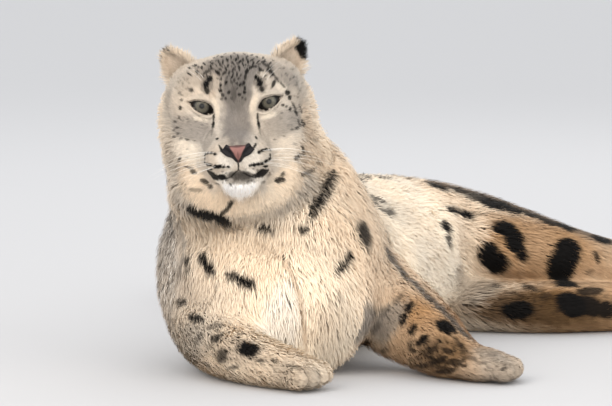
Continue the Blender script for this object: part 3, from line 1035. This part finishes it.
def darkAt(points, base, chance, marks):
    # how dark the markings are at points of the coat
    dark = np.zeros(len(points))
    rag = 0.5 * waves(points, 0.006, 5) + 0.9 * (chance - 0.5)
    for ellipse, depth, ring in marks:
        near, out, angle, away = distanceIn(ellipse, points, 1.6)
        size = np.linalg.norm(ellipse[1])
        soft = np.clip(0.0028 / size, 0.12, 0.40)
        edge = out + rag[near] * soft
        level = np.clip((1.0 - edge) / soft + 0.5, 0, 1)
        if ring:
            inner = np.clip((edge - 0.46) / soft + 0.5, 0, 1)
            gaps = smoothStep(np.sin(2.0 * angle + 40 * size * 100) + 0.5 * np.sin(3 * angle + 9000 * size), -1.15, -0.75)
            level = level * (0.30 + 0.70 * inner * gaps)
        level = level * (np.abs(away) < size * 0.8 + 0.022)
        dark[near] = np.maximum(dark[near], depth * level)
    place, gap = alongTail(points)
    band = np.sin(2 * math.pi * place / hiddenMarks["tailBands"] + 1.2 * waves(points, 0.05, 8))
    band = smoothStep(band + 0.16 * rag, 0.05, 0.55) * smoothStep(points[:, 2], 0.014, 0.040)
    onTail = smoothStep(-gap, -0.075, -0.062) * (place > 0.03)
    dark = np.maximum(dark, 0.92 * band * onTail)
    tip = smoothStep(place, 0.93, 0.99) * onTail
    return np.maximum(np.maximum(dark, 0.9 * tip), base)


def toneAt(points, coat, chance):
    # how cream, tan and white the coat is, and its speckle where it is grey
    pale, tan = coat["pale"].copy(), coat["tan"].copy()
    white, deep = np.zeros((2, len(points)))
    local = coat["local"]
    faceBase = coat["onHead"] * smoothStep(-local[:, 1], -100, -45)
    pale += faceBase * (0.30 - pale)
    tan += faceBase * (0.05 - tan)
    ruffPale = coat["onHead"] * smoothStep(np.abs(local[:, 0]), 70, 92) * smoothStep(-local[:, 2], -25, 5)
    pale += ruffPale * (0.88 - pale)
    tan += ruffPale * (0.26 - tan)
    for ellipse, values in tones:
        near, out, _, away = distanceIn(ellipse, points, 1.5)
        thick = 0.03 + 0.5 * min(np.linalg.norm(ellipse[1]), np.linalg.norm(ellipse[2]))
        share = smoothStep(-out - 0.12 * waves(points[near], 0.008, 3), -1.25, -0.55) * (np.abs(away) < thick)
        for field, value in zip((pale, tan, white, deep), values):
            field[near] += share * (value - field[near])
    seam = 0.10 * waves(points, 0.05, 21)
    grey = smoothStep(-pale, -0.42, -0.10) * (1 - 0.65 * coat["onHead"])
    return {
        "speck": 0.5 + ((7 * chance + 0.37) % 1 - 0.5) * grey, "pale": np.clip(pale + seam, 0, 1),
        "tan": np.clip(tan + seam, 0, 1), "white": np.clip(white, 0, 1), "deep": np.clip(deep, 0, 1),
    }


def addNode(tree, kind, settings=None, links=None):
    # one node with its settings and what feeds its inputs
    node = tree.nodes.new(kind)
    for key, value in (settings or {}).items():
        if isinstance(key, int) or key in node.inputs:
            node.inputs[key].default_value = value
        else:
            setattr(node, key, value)
    for key, socket in (links or {}).items():
        tree.links.new(socket, node.inputs[key])
    return node


def addMaterial(name, roughness):
    material = bpy.data.materials.new(name)
    material.use_nodes = True
    tree = material.node_tree
    shader = tree.nodes["Principled BSDF"]
    shader.inputs["Roughness"].default_value = roughness
    return material, tree, shader


# The coat's colours, deepest first
coatColours = {
    "grey": "#a09890", "cream": "#fff0d8", "ochre": "#b08350", "white": "#fffdfa", "mark": "#080605",
}


def colourNodes(tree):
    # the coat's colour from the parts kept on each point: cream over grey, then ochre, white and marks
    def part(name):
        return addNode(tree, "ShaderNodeAttribute", {"attribute_name": name}).outputs["Fac"]

    def blend(kind, factor, first, second):
        node = addNode(tree, "ShaderNodeMix", {"data_type": "RGBA", "blend_type": kind})
        for socket, value in ((0, factor), (6, first), (7, second)):
            if hasattr(value, "is_output"):
                tree.links.new(value, node.inputs[socket])
            else:
                node.inputs[socket].default_value = value
        return node.outputs[2]

    colour = blend("MIX", part("pale"), linear(coatColours["grey"]), linear(coatColours["cream"]))
    colour = blend("MIX", part("tan"), colour, linear(coatColours["ochre"]))
    colour = blend("MIX", part("white"), colour, linear(coatColours["white"]))
    return part, blend, colour


def coatMaterial(name, roughness, rootShade):
    # soft matt guard hairs over wool: dull, a little sheen, each lock a shade of its own
    material, tree, shader = addMaterial(name, roughness)
    part, blend, colour = colourNodes(tree)
    lockShade = addNode(tree, "ShaderNodeMapRange", {"To Min": 0.93, "To Max": 1.07}, {"Value": part("lock")})
    hairShade = addNode(tree, "ShaderNodeMapRange", {"To Min": 0.88, "To Max": 1.12}, {"Value": part("chance")})
    alongShade = addNode(tree, "ShaderNodeMapRange", {"To Min": rootShade, "To Max": 1.04}, {"Value": part("along")})
    shade = addNode(tree, "ShaderNodeMath", {"operation": "MULTIPLY"}, {0: lockShade.outputs[0], 1: hairShade.outputs[0]})
    shade = addNode(tree, "ShaderNodeMath", {"operation": "MULTIPLY"}, {0: shade.outputs[0], 1: alongShade.outputs[0]})
    grain = addNode(tree, "ShaderNodeVectorMath", {"operation": "SCALE"}, {0: colour, "Scale": shade.outputs[0]})
    speck = addNode(tree, "ShaderNodeMapRange", {"From Min": 0.80, "From Max": 0.90}, {"Value": part("speck")})
    light = addNode(tree, "ShaderNodeMapRange", {"From Min": 0.20, "From Max": 0.10}, {"Value": part("speck")})
    colour = blend("MIX", speck.outputs[0], grain.outputs[0], linear("#3a332e"))
    colour = blend("MIX", light.outputs[0], colour, linear("#e6dfd4"))
    colour = blend("MIX", part("dark"), colour, linear(coatColours["mark"]))
    tree.links.new(colour, shader.inputs["Base Color"])
    shader.inputs["Sheen Weight"].default_value = 0.05
    shader.inputs["Sheen Roughness"].default_value = 0.45
    shader.inputs["Sheen Tint"].default_value = linear("#fff6e8")
    shader.inputs["Specular IOR Level"].default_value = 0.15
    return material


def skinMaterial():
    # hide under the fur, in the coat's colours, and dark bare leather at lids and lips
    material, tree, shader = addMaterial("furred_hide", 0.8)
    part, blend, colour = colourNodes(tree)
    colour = blend("MULTIPLY", 0.28, colour, linear("#a3968a"))
    colour = blend("MIX", part("dark"), colour, linear(coatColours["mark"]))
    colour = blend("MIX", part("bare"), colour, linear("#1a1513"))
    place = addNode(tree, "ShaderNodeTexCoord").outputs["Object"]
    nap = addNode(tree, "ShaderNodeTexNoise", {"Scale": 900, "Detail": 3}, {"Vector": place})
    bump = addNode(tree, "ShaderNodeBump", {"Strength": 0.5, "Distance": 0.8 * mm}, {"Height": nap.outputs["Fac"]})
    tree.links.new(bump.outputs[0], shader.inputs["Normal"])
    tree.links.new(colour, shader.inputs["Base Color"])
    return material


coatPlan = {
    "tufts": 284000,
    "rings": (0.0, 0.38, 0.72, 1.0),      # places along a tuft
    "widths": (0.80, 1.0, 0.76),          # its width there; the last ring is its tip
    "clumpShare": 11,                     # tufts to a lock
    "mostTufts": 39000,                   # in one piece
    "floor": 1.2 * mm,
    "patch": 0.003,
}


def skinTriangles(mesh):
    mesh.calc_loop_triangles()
    count = len(mesh.loop_triangles)
    corners, loops = np.empty(3 * count, np.int32), np.empty(3 * count, np.int32)
    mesh.loop_triangles.foreach_get("vertices", corners)
    mesh.loop_triangles.foreach_get("loops", loops)
    maps = np.empty(2 * len(mesh.loops), np.float32)
    mesh.uv_layers["OFBake"].uv.foreach_get("vector", maps)
    return corners.reshape(-1, 3), loops.reshape(-1, 3), maps.reshape(-1, 2)


def growCoat(mesh, coat, share, count, seed, marks):
    # roots spread over the skin, and for each a bent, pointed tuft that lies along the body
    rng = np.random.default_rng(seed)
    points, normals = meshArrays(mesh)
    corners, loops, maps = skinTriangles(mesh)
    a, b, c = (points[corners[:, n]] for n in range(3))
    area = np.linalg.norm(np.cross(b - a, c - a), axis=1) / 2
    weight = np.cumsum(area * share[corners].mean(1))
    chosen = np.searchsorted(weight, (np.arange(count) + rng.random(count)) / count * weight[-1])
    chosen = np.minimum(chosen, len(corners) - 1)
    u, v = rng.random((2, count))
    flip = u + v > 1
    u[flip], v[flip] = 1 - u[flip], 1 - v[flip]
    mix = np.stack([1 - u - v, u, v], axis=1)

    def at(values):
        picked = values[corners[chosen]]
        return np.einsum("ij,ij...->i...", mix, picked)

    root, out = at(points), unit(at(normals))
    flow = at(coat["flow"])
    flow = unit(flow - rows(flow, out)[:, None] * out)
    length = at(coat["length"]) * rng.uniform(0.72, 1.18, count)
    uneven = 1 - 0.80 * smoothStep(length, 0.022, 0.045)
    depth = at(coat["depth"]) * (1.13 + uneven * rng.uniform(-0.23, 0.23, count))
    width = at(coat["width"]) * rng.uniform(0.75, 1.25, count)
    wool = rng.random(count) < 0.48 * smoothStep(length, 0.016, 0.032)     # soft underwool fills the gaps
    depth = depth * np.where(wool, 0.86, 1)
    width = width * np.where(wool, 2.0, 1)
    wander = rng.normal(0, 1, count) * at(coat["wander"])
    side = np.cross(flow, out)
    flow = unit(flow + wander[:, None] * side)
    side = np.cross(flow, out)
    patch = np.einsum("ij,ijk->ik", mix, maps[loops[chosen]])

    tree = surfaceTree(mesh)
    lines, ups = [root - out * 0.6 * mm], [out]
    reach = np.sqrt(np.maximum(length ** 2 - depth ** 2, (0.3 * length) ** 2))
    sway = rng.uniform(-1, 1, count) * at(coat["curl"])
    free = at(coat["free"])
    for t in coatPlan["rings"][1:]:
        guess = root + flow * (reach * t)[:, None] + side * (sway * length * t * t)[:, None]
        spot, way, _ = nearestOn(tree, guess)
        spot = spot + free[:, None] * (guess - spot)
        way = unit(0.5 * way + 0.5 * out)
        rise = depth * (1 - (1 - t) ** 2.5)
        lines.append(spot + way * rise[:, None])
        ups.append(way)
    line, up = np.stack(lines, axis=1), np.stack(ups, axis=1)

    seeds = rng.permutation(count)[:count // coatPlan["clumpShare"]]
    lockTree = KDTree(len(seeds))
    for number, place in enumerate(root[seeds].tolist()):
        lockTree.insert(place, number)
    lockTree.balance()
    lock = seeds[np.array([lockTree.find(place)[1] for place in root.tolist()])]
    near = np.linalg.norm(root[lock] - root, axis=1)
    pull = at(coat["clump"]) * smoothStep(-near, -0.35 * length, -0.1 * length)
    for ring, t in enumerate(coatPlan["rings"]):
        line[:, ring] += (pull * t ** 1.5)[:, None] * (line[lock, ring] - line[:, ring])
    lift = coatPlan["floor"] + rng.uniform(0, 1.0, count) * mm
    line[:, :, 2] = np.maximum(line[:, :, 2], lift[:, None])

    chance = rng.random(count)
    chance = 0.5 + (chance - 0.5) * (1 - 0.60 * smoothStep(length, 0.025, 0.045))
    shown = {key: at(value) for key, value in coat.items() if key in ("pale", "tan", "onHead", "local")}
    colour = toneAt(0.5 * line[:, 2] + 0.5 * line[:, 3], shown, chance)
    base = at(coat["mark"])
    dark = [darkAt(line[:, ring], base, chance, marks) for ring in (1, 2, 3)]
    dark = np.stack([dark[0], *dark], axis=1)
    colour["dark"] = 1 - (1 - dark) * (1 - colour.pop("deep"))[:, None]
    roll = rng.normal(0, 0.24, count) * (0.5 + 0.5 * uneven)
    return {
        "line": line, "up": up, "width": width, "roll": roll, "patch": patch, "lock": chance[lock],
        "chance": chance, "vertex": corners[chosen, 0], "ear": earSide[corners[chosen, 0]], **colour,
    }


def tuftMesh(tufts, name):
    # one joined mesh of pointed strips, softly shaded as the body under them
    line, up = tufts["line"], tufts["up"]
    count = len(line)
    ahead = unit(np.gradient(line, axis=1))
    side = unit(np.cross(ahead, up))
    face = np.cross(side, ahead)
    roll = tufts["roll"][:, None, None]
    across = side * np.cos(roll) + face * np.sin(roll)
    tilt = face * np.cos(roll) - side * np.sin(roll)
    half = 0.5 * tufts["width"][:, None, None] * np.array(coatPlan["widths"])[None, :, None]
    left, right = line[:, :3] - across[:, :3] * half, line[:, :3] + across[:, :3] * half
    points = np.empty((count, 7, 3))
    points[:, 0:6:2], points[:, 1:6:2], points[:, 6] = left, right, line[:, 3]
    points[:, :, 2] = np.maximum(points[:, :, 2], 0.4 * mm)
    ring = np.array([0, 0, 1, 1, 2, 2, 3])
    shading = unit(0.88 * up[:, ring] + 0.12 * tilt[:, ring] + 0.10 * ahead[:, ring])

    first = 7 * np.arange(count)[:, None]
    pattern = np.array([0, 1, 3, 2, 2, 3, 5, 4, 4, 5, 6])
    loops = (first + pattern).ravel()
    sizes = np.tile([4, 4, 3], count)
    mesh = bpy.data.meshes.new(name)
    mesh.vertices.add(7 * count)
    mesh.vertices.foreach_set("co", points.astype(np.float32).ravel())
    mesh.loops.add(len(loops))
    mesh.loops.foreach_set("vertex_index", loops.astype(np.int32))
    mesh.polygons.add(len(sizes))
    starts = np.concatenate([[0], np.cumsum(sizes)[:-1]])
    mesh.polygons.foreach_set("loop_start", starts.astype(np.int32))
    mesh.update(calc_edges=True)
    mesh.shade_smooth()

    places = np.array(coatPlan["rings"])[ring]
    corner = np.array([-0.5, 0.5, 0.5, -0.5, -0.5, 0.5, 0.5, -0.5, -0.5, 0.5, 0.0])
    patch = np.repeat(tufts["patch"], 11, axis=0)
    patch[:, 0] += coatPlan["patch"] * np.tile(corner, count)
    patch[:, 1] += coatPlan["patch"] * (np.tile(places[pattern], count) - 0.5)
    mesh.uv_layers.new(name="OFBake", do_init=False)
    mesh.uv_layers["OFBake"].uv.foreach_set("vector", patch.astype(np.float32).ravel())
    mesh.normals_split_custom_set_from_vertices(shading.reshape(-1, 3).tolist())
    fields = {key: np.repeat(tufts[key], 7) for key in ("pale", "tan", "white", "chance", "lock", "speck")}
    fields["dark"] = tufts["dark"][:, ring].ravel()
    fields["along"] = np.tile(places, count)
    addFields(mesh, fields)
    return mesh


def addFields(mesh, fields):
    for key, values in fields.items():
        mesh.attributes.new(key, "FLOAT", "POINT").data.foreach_set("value", values.astype(np.float32))


def skinLooks():
    points, normals = meshArrays(skinMesh)
    shown = points + normals * skinParts["depth"][:, None] + skinParts["flow"] * 0.55 * skinParts["length"][:, None]
    half = np.full(len(points), 0.5)
    colour = toneAt(shown, skinParts, half)
    colour.pop("speck")
    dark = 1 - (1 - darkAt(shown, skinParts["mark"], half, coatMarks)) * (1 - colour.pop("deep"))
    addFields(skinMesh, {**colour, "dark": dark, "bare": skinParts["bare"]})
    skinMesh.materials.append(skinMaterial())


def settled(bm, field, rounds=8):
    points = settle(np.array([vert.co for vert in bm.verts]), field, rounds)
    for vert, spot in zip(bm.verts, points.tolist()):
        vert.co = spot


def eyeMaterial():
    # wet clear cornea over a grey-green iris: black pupil, dark ring, fine spokes
    material, tree, shader = addMaterial("wet_eye", 0.4)
    ring = addNode(tree, "ShaderNodeAttribute", {"attribute_name": "ring"}).outputs["Fac"]
    spoke = addNode(tree, "ShaderNodeAttribute", {"attribute_name": "spoke"}).outputs["Vector"]
    ramp = addNode(tree, "ShaderNodeValToRGB", {}, {0: ring})
    stops = ((0.0, "#020202"), (0.23, "#030303"), (0.265, "#2c2a25"), (0.33, "#4e4a40"), (0.52, "#5b574c"),
             (0.68, "#494740"), (0.77, "#242422"), (0.83, "#0b0a0a"), (0.93, "#100e0d"), (1.0, "#1a1614"))
    for place, colour in stops[2:]:
        ramp.color_ramp.elements.new(place)
    for element, (place, colour) in zip(ramp.color_ramp.elements, stops):
        element.position, element.color = place, linear(colour)
    fibres = addNode(tree, "ShaderNodeTexNoise", {"Scale": 11, "Detail": 4}, {"Vector": spoke})
    shade = addNode(tree, "ShaderNodeMapRange", {"From Min": 0.3, "From Max": 0.7, "To Min": 0.68, "To Max": 1.25},
                    {"Value": fibres.outputs["Fac"]})
    mixed = addNode(tree, "ShaderNodeVectorMath", {"operation": "SCALE"}, {0: ramp.outputs[0], "Scale": shade.outputs[0]})
    tree.links.new(mixed.outputs[0], shader.inputs["Base Color"])
    shader.inputs["Coat Weight"].default_value = 0.28
    shader.inputs["Specular IOR Level"].default_value = 0.2
    shader.inputs["Coat Roughness"].default_value = 0.03
    shader.inputs["Coat IOR"].default_value = 1.38
    return material


eye = {"segments": 56, "rings": 40, "cornea": 10.6, "bulge": 1.7, "irisRing": 12.0}


def addEyes():
    material = eyeMaterial()
    for name in eyeNodes:
        side = 1 if name.endswith("left") else -1
        bm = bmesh.new()
        bmesh.ops.create_uvsphere(bm, u_segments=eye["segments"], v_segments=eye["rings"], radius=head["eyeRadius"])
        bmesh.ops.rotate(bm, verts=bm.verts, matrix=Matrix.Rotation(math.radians(90), 3, "X"))
        for vert in bm.verts:
            if vert.co.y < 0:
                gap = math.hypot(vert.co.x, vert.co.z)
                vert.co.y -= eye["bulge"] * float(smoothStep(-gap, -eye["cornea"], -eye["cornea"] * 0.25))
        points = np.array([vert.co for vert in bm.verts])
        centre = Vector((side * head["eyeSide"], head["eyeRadius"], face["ballHeight"]))
        bmesh.ops.transform(bm, matrix=headPlace @ Matrix.Translation(centre), verts=bm.verts)
        mesh = finishMesh(bm, name + "_ball")
        gap = np.hypot(points[:, 0], points[:, 2])
        gap = np.where(points[:, 1] < 0, gap, 20)
        addFields(mesh, {"ring": gap / eye["irisRing"]})
        spokes = np.stack([points[:, 0], points[:, 2], 0.9 * gap], axis=1) / np.maximum(gap, 0.5)[:, None]
        spokes[:, 2] = 0.04 * gap
        mesh.attributes.new("spoke", "FLOAT_VECTOR", "POINT").data.foreach_set("vector", spokes.astype(np.float32).ravel())
        mesh.shade_smooth()
        mesh.materials.append(material)
        ball = addObject(name + "_ball", mesh)
        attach(ball, "root")
        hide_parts(name)


nose = {
    "masses": (((0, -57, -57.0), (19, 8, 4.6)), ((0, -57.5, -60), (16.8, 8.5, 7)), ((0, -54.5, -66.5), (5.5, 7.5, 6.5)),
               ((19.0, -54.0, -52.6), (7.0, 8, 4.4))),
    "nostril": ((14.2, -63.8, -58.4), (9.4, 5.6, 3.8), 42), "blend": 2.0,
}


def noseLevel(points):
    solid = massField(points, nose["masses"], nose["blend"])
    centre, halfSizes, tilt = nose["nostril"]
    dx, dz = np.abs(points[:, 0]) - centre[0], points[:, 2] - centre[2]
    turn = math.radians(tilt)
    local = np.stack([dx * math.cos(turn) + dz * math.sin(turn), points[:, 1] - centre[1],
                      -dx * math.sin(turn) + dz * math.cos(turn)], axis=1)
    near = np.linalg.norm(local / halfSizes, axis=1)
    hole = (near - 1) * 3.2
    return np.log(np.exp(solid / 0.8) + np.exp(-hole / 0.8)) * 0.8


def noseMaterial():
    # damp leather, pebbled at about 1 mm: pink in the middle, black at the wings and nostrils
    material, tree, shader = addMaterial("nose_leather", 0.55)
    black = addNode(tree, "ShaderNodeAttribute", {"attribute_name": "black"}).outputs["Fac"]
    place = addNode(tree, "ShaderNodeTexCoord").outputs["Object"]
    pebble = addNode(tree, "ShaderNodeTexVoronoi", {"Scale": 850}, {"Vector": place})
    blotch = addNode(tree, "ShaderNodeTexNoise", {"Scale": 160, "Detail": 2}, {"Vector": place})
    pink = addNode(tree, "ShaderNodeMix", {"data_type": "RGBA", 6: linear("#6e4843"), 7: linear("#926a63")},
                   {0: blotch.outputs["Fac"]})
    mixed = addNode(tree, "ShaderNodeMix", {"data_type": "RGBA", 7: linear("#161315")}, {0: black, 6: pink.outputs[2]})
    bump = addNode(tree, "ShaderNodeBump", {"Strength": 0.5, "Distance": 0.5 * mm}, {"Height": pebble.outputs["Distance"]})
    shader.inputs["Specular IOR Level"].default_value = 0.22
    tree.links.new(mixed.outputs[2], shader.inputs["Base Color"])
    tree.links.new(bump.outputs[0], shader.inputs["Normal"])
    return material


def addNose():
    bm = bmesh.new()
    bmesh.ops.create_icosphere(bm, subdivisions=6, radius=1)
    bmesh.ops.scale(bm, verts=bm.verts, vec=(21, 8, 11))
    bmesh.ops.translate(bm, verts=bm.verts, vec=(0, -57, -59))
    settled(bm, noseLevel, 14)
    bmesh.ops.smooth_vert(bm, verts=bm.verts, factor=0.5, use_axis_x=True, use_axis_y=True, use_axis_z=True)
    points = np.array([vert.co for vert in bm.verts])
    bmesh.ops.transform(bm, matrix=headPlace, verts=bm.verts)
    mesh = finishMesh(bm, "nose_leather")
    side, height = np.abs(points[:, 0]), points[:, 2]
    edge = np.interp(height, (-71, -69, -67, -64.6, -60.4, -55, -52), (0.2, 0.9, 2.4, 3.8, 5.5, 8.9, 10.0))
    black = smoothStep(side - edge, -0.8, 0.8)
    black = np.maximum(black, 0.6 * smoothStep(height - 0.12 * side, -55.4, -53.6))
    black = np.maximum(black, 0.5 * np.exp(-(side / 0.7) ** 2) * smoothStep(-height, 58, 61))
    addFields(mesh, {"black": black})
    mesh.shade_smooth()
    mesh.materials.append(noseMaterial())
    item = addObject("nose_leather", mesh)
    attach(item, "root")
    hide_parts("nose")


whisker = {"thick": 0.19, "points": 9, "sides": 2}
whiskerRoots = (     # photo pixel and length in mm
    (205, 162, 78), (208, 164, 70), (211, 169, 60), (205, 158, 82), (205, 155, 66), (208, 153, 58), (211, 153, 46),
    (215, 167, 44), (211, 165, 56), (215, 154, 36), (270, 155, 80), (269, 159, 84), (266, 161, 76), (262, 163, 66),
    (270, 150, 66), (266, 150, 58), (263, 151, 46), (258, 164, 52), (266, 166, 60), (259, 152, 36),
    (204, 82, 24), (207, 80, 28), (264, 80, 28), (268, 82, 24),
)


def addWhiskers():
    rng = np.random.default_rng(5)
    data = bpy.data.curves.new("whiskers", "CURVE")
    data.dimensions = "3D"
    data.bevel_depth, data.bevel_resolution, data.use_fill_caps = whisker["thick"] * mm, whisker["sides"], True
    for px, py, length in whiskerRoots:
        x, z = (float(value) for value in onFace(px, py))
        root = np.array([x, frontOf(np.array([x]), np.array([z]))[0] + 1.5, z])
        side = math.copysign(1, x)
        if py < 100:
            way, bend = unit(np.array([0.35 * side, -0.8, 0.75])), np.array([0.55 * side, 0.45, 0.1])
        else:
            way = unit(np.array([side, -0.42, 0.10 - 0.012 * (py - 150)]) + rng.normal(0, 0.05, 3))
            bend = np.array([0.02 * side, 0.42, -0.20]) + rng.normal(0, 0.04, 3)
        line = data.splines.new("POLY")
        line.points.add(whisker["points"] - 1)
        for point, t in zip(line.points, np.linspace(0, 1, whisker["points"])):
            spot = headPlace @ Vector(root + length * (way * t + bend * t * t))
            point.co, point.radius = (*spot, 1), 1.0 - 0.82 * t
    made = baked(addObject("whiskers", data), "whiskers")
    made.materials.clear()
    material, tree, shader = addMaterial("whisker_bristle", 0.35)
    place = addNode(tree, "ShaderNodeTexCoord").outputs["Object"]
    streak = addNode(tree, "ShaderNodeTexNoise", {"Scale": 60}, {"Vector": place})
    mixed = addNode(tree, "ShaderNodeMix", {"data_type": "RGBA", 6: linear("#cfc8bc"), 7: linear("#fbfaf6")},
                    {0: streak.outputs["Fac"]})
    tree.links.new(mixed.outputs[2], shader.inputs["Base Color"])
    made.materials.append(material)
    made.shade_smooth()
    item = addObject("whiskers", made)
    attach(item, "root")


def nodeOf(points):
    # the name of the CAD node nearest each point
    corners, faces, owner = [], [], []
    for number, name in enumerate(fleshNodes):
        mesh = nodes[name].data
        mesh.calc_loop_triangles()
        first = len(corners)
        corners += meshArrays(mesh)[0].tolist()
        faces += [[first + index for index in triangle.vertices] for triangle in mesh.loop_triangles]
        owner += [number] * len(mesh.loop_triangles)
    tree = BVHTree.FromPolygons(corners, faces)
    return np.array([owner[tree.find_nearest(point)[2]] for point in points.tolist()])


def addCoat():
    tufts = growCoat(skinMesh, skinParts, skinParts["share"], coatPlan["tufts"], 3, coatMarks)
    material = coatMaterial("snow_leopard_coat", 0.78, 0.92)
    owner = nodeOf(meshArrays(skinMesh)[0])[tufts["vertex"]]
    owner = np.where(tufts["ear"] != 0, [fleshNodes.index("ear_left" if e > 0 else "ear_right") for e in tufts["ear"]], owner)
    total = 0
    for number, name in enumerate(fleshNodes):
        mine = np.flatnonzero(owner == number)
        if not len(mine):
            continue
        mine = mine[np.argsort(tufts["line"][mine, 0, 0], kind="stable")]
        shares = math.ceil(len(mine) / coatPlan["mostTufts"])
        for index, chosen in enumerate(np.array_split(mine, shares)):
            label = "coat_" + name + (f"_{index + 1}" if shares > 1 else "")
            mesh = tuftMesh({key: values[chosen] for key, values in tufts.items()}, label)
            mesh.materials.append(material)
            item = addObject(label, mesh)
            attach(item, "root")
            total += len(chosen)
    print("coat:", total, "tufts")


coatMarks = seenMarks + scatterMarks(*meshArrays(skinMesh), skinParts)
print("marks:", len(coatMarks))
skinLooks()
addEyes()
addNose()
addWhiskers()
addCoat()


def stageScene():
    # pale floor and soft studio light
    mesh = bpy.data.meshes.new("floor")
    bm = bmesh.new()
    bmesh.ops.create_grid(bm, x_segments=1, y_segments=1, size=30)
    bm.to_mesh(mesh)
    bm.free()
    floor = addObject("floor", mesh)
    material, tree, shader = addMaterial("paper_floor", 0.9)
    shader.inputs["Base Color"].default_value = linear("#b6b6b7")
    mesh.materials.append(material)
    world = bpy.data.worlds.new("studio")
    world.use_nodes = True
    world.node_tree.nodes["Background"].inputs["Color"].default_value = linear("#f3f4f6")
    world.node_tree.nodes["Background"].inputs["Strength"].default_value = 1.45
    scene.world = world
    for name, place, aim, size, power, colour in (
        ("key", (-2.2, -3.0, 2.6), (0, 0, 0.2), 2.4, 88, "#fff3e6"),
        ("fill", (2.8, -2.6, 1.6), (0.1, 0, 0.2), 2.6, 46, "#fbf7f2"),
        ("bounce", (0.2, -3.4, 0.6), (0.0, 0, 0.15), 2.2, 42, "#fff8ef"),
        ("rim", (0.8, 3.0, 2.6), (0, 0.2, 0.2), 2.4, 20, "#ffffff"),
    ):
        data = bpy.data.lights.new(name, "AREA")
        data.size, data.energy = size, power
        data.color = linear(colour)[:3]
        lamp = bpy.data.objects.new(name, data)
        way = Vector(aim) - Vector(place)
        lamp.matrix_world = Matrix.Translation(Vector(place)) @ way.to_track_quat("-Z", "Y").to_matrix().to_4x4()
        scene.collection.objects.link(lamp)
    scene.view_settings.view_transform = "Standard"


stageScene()
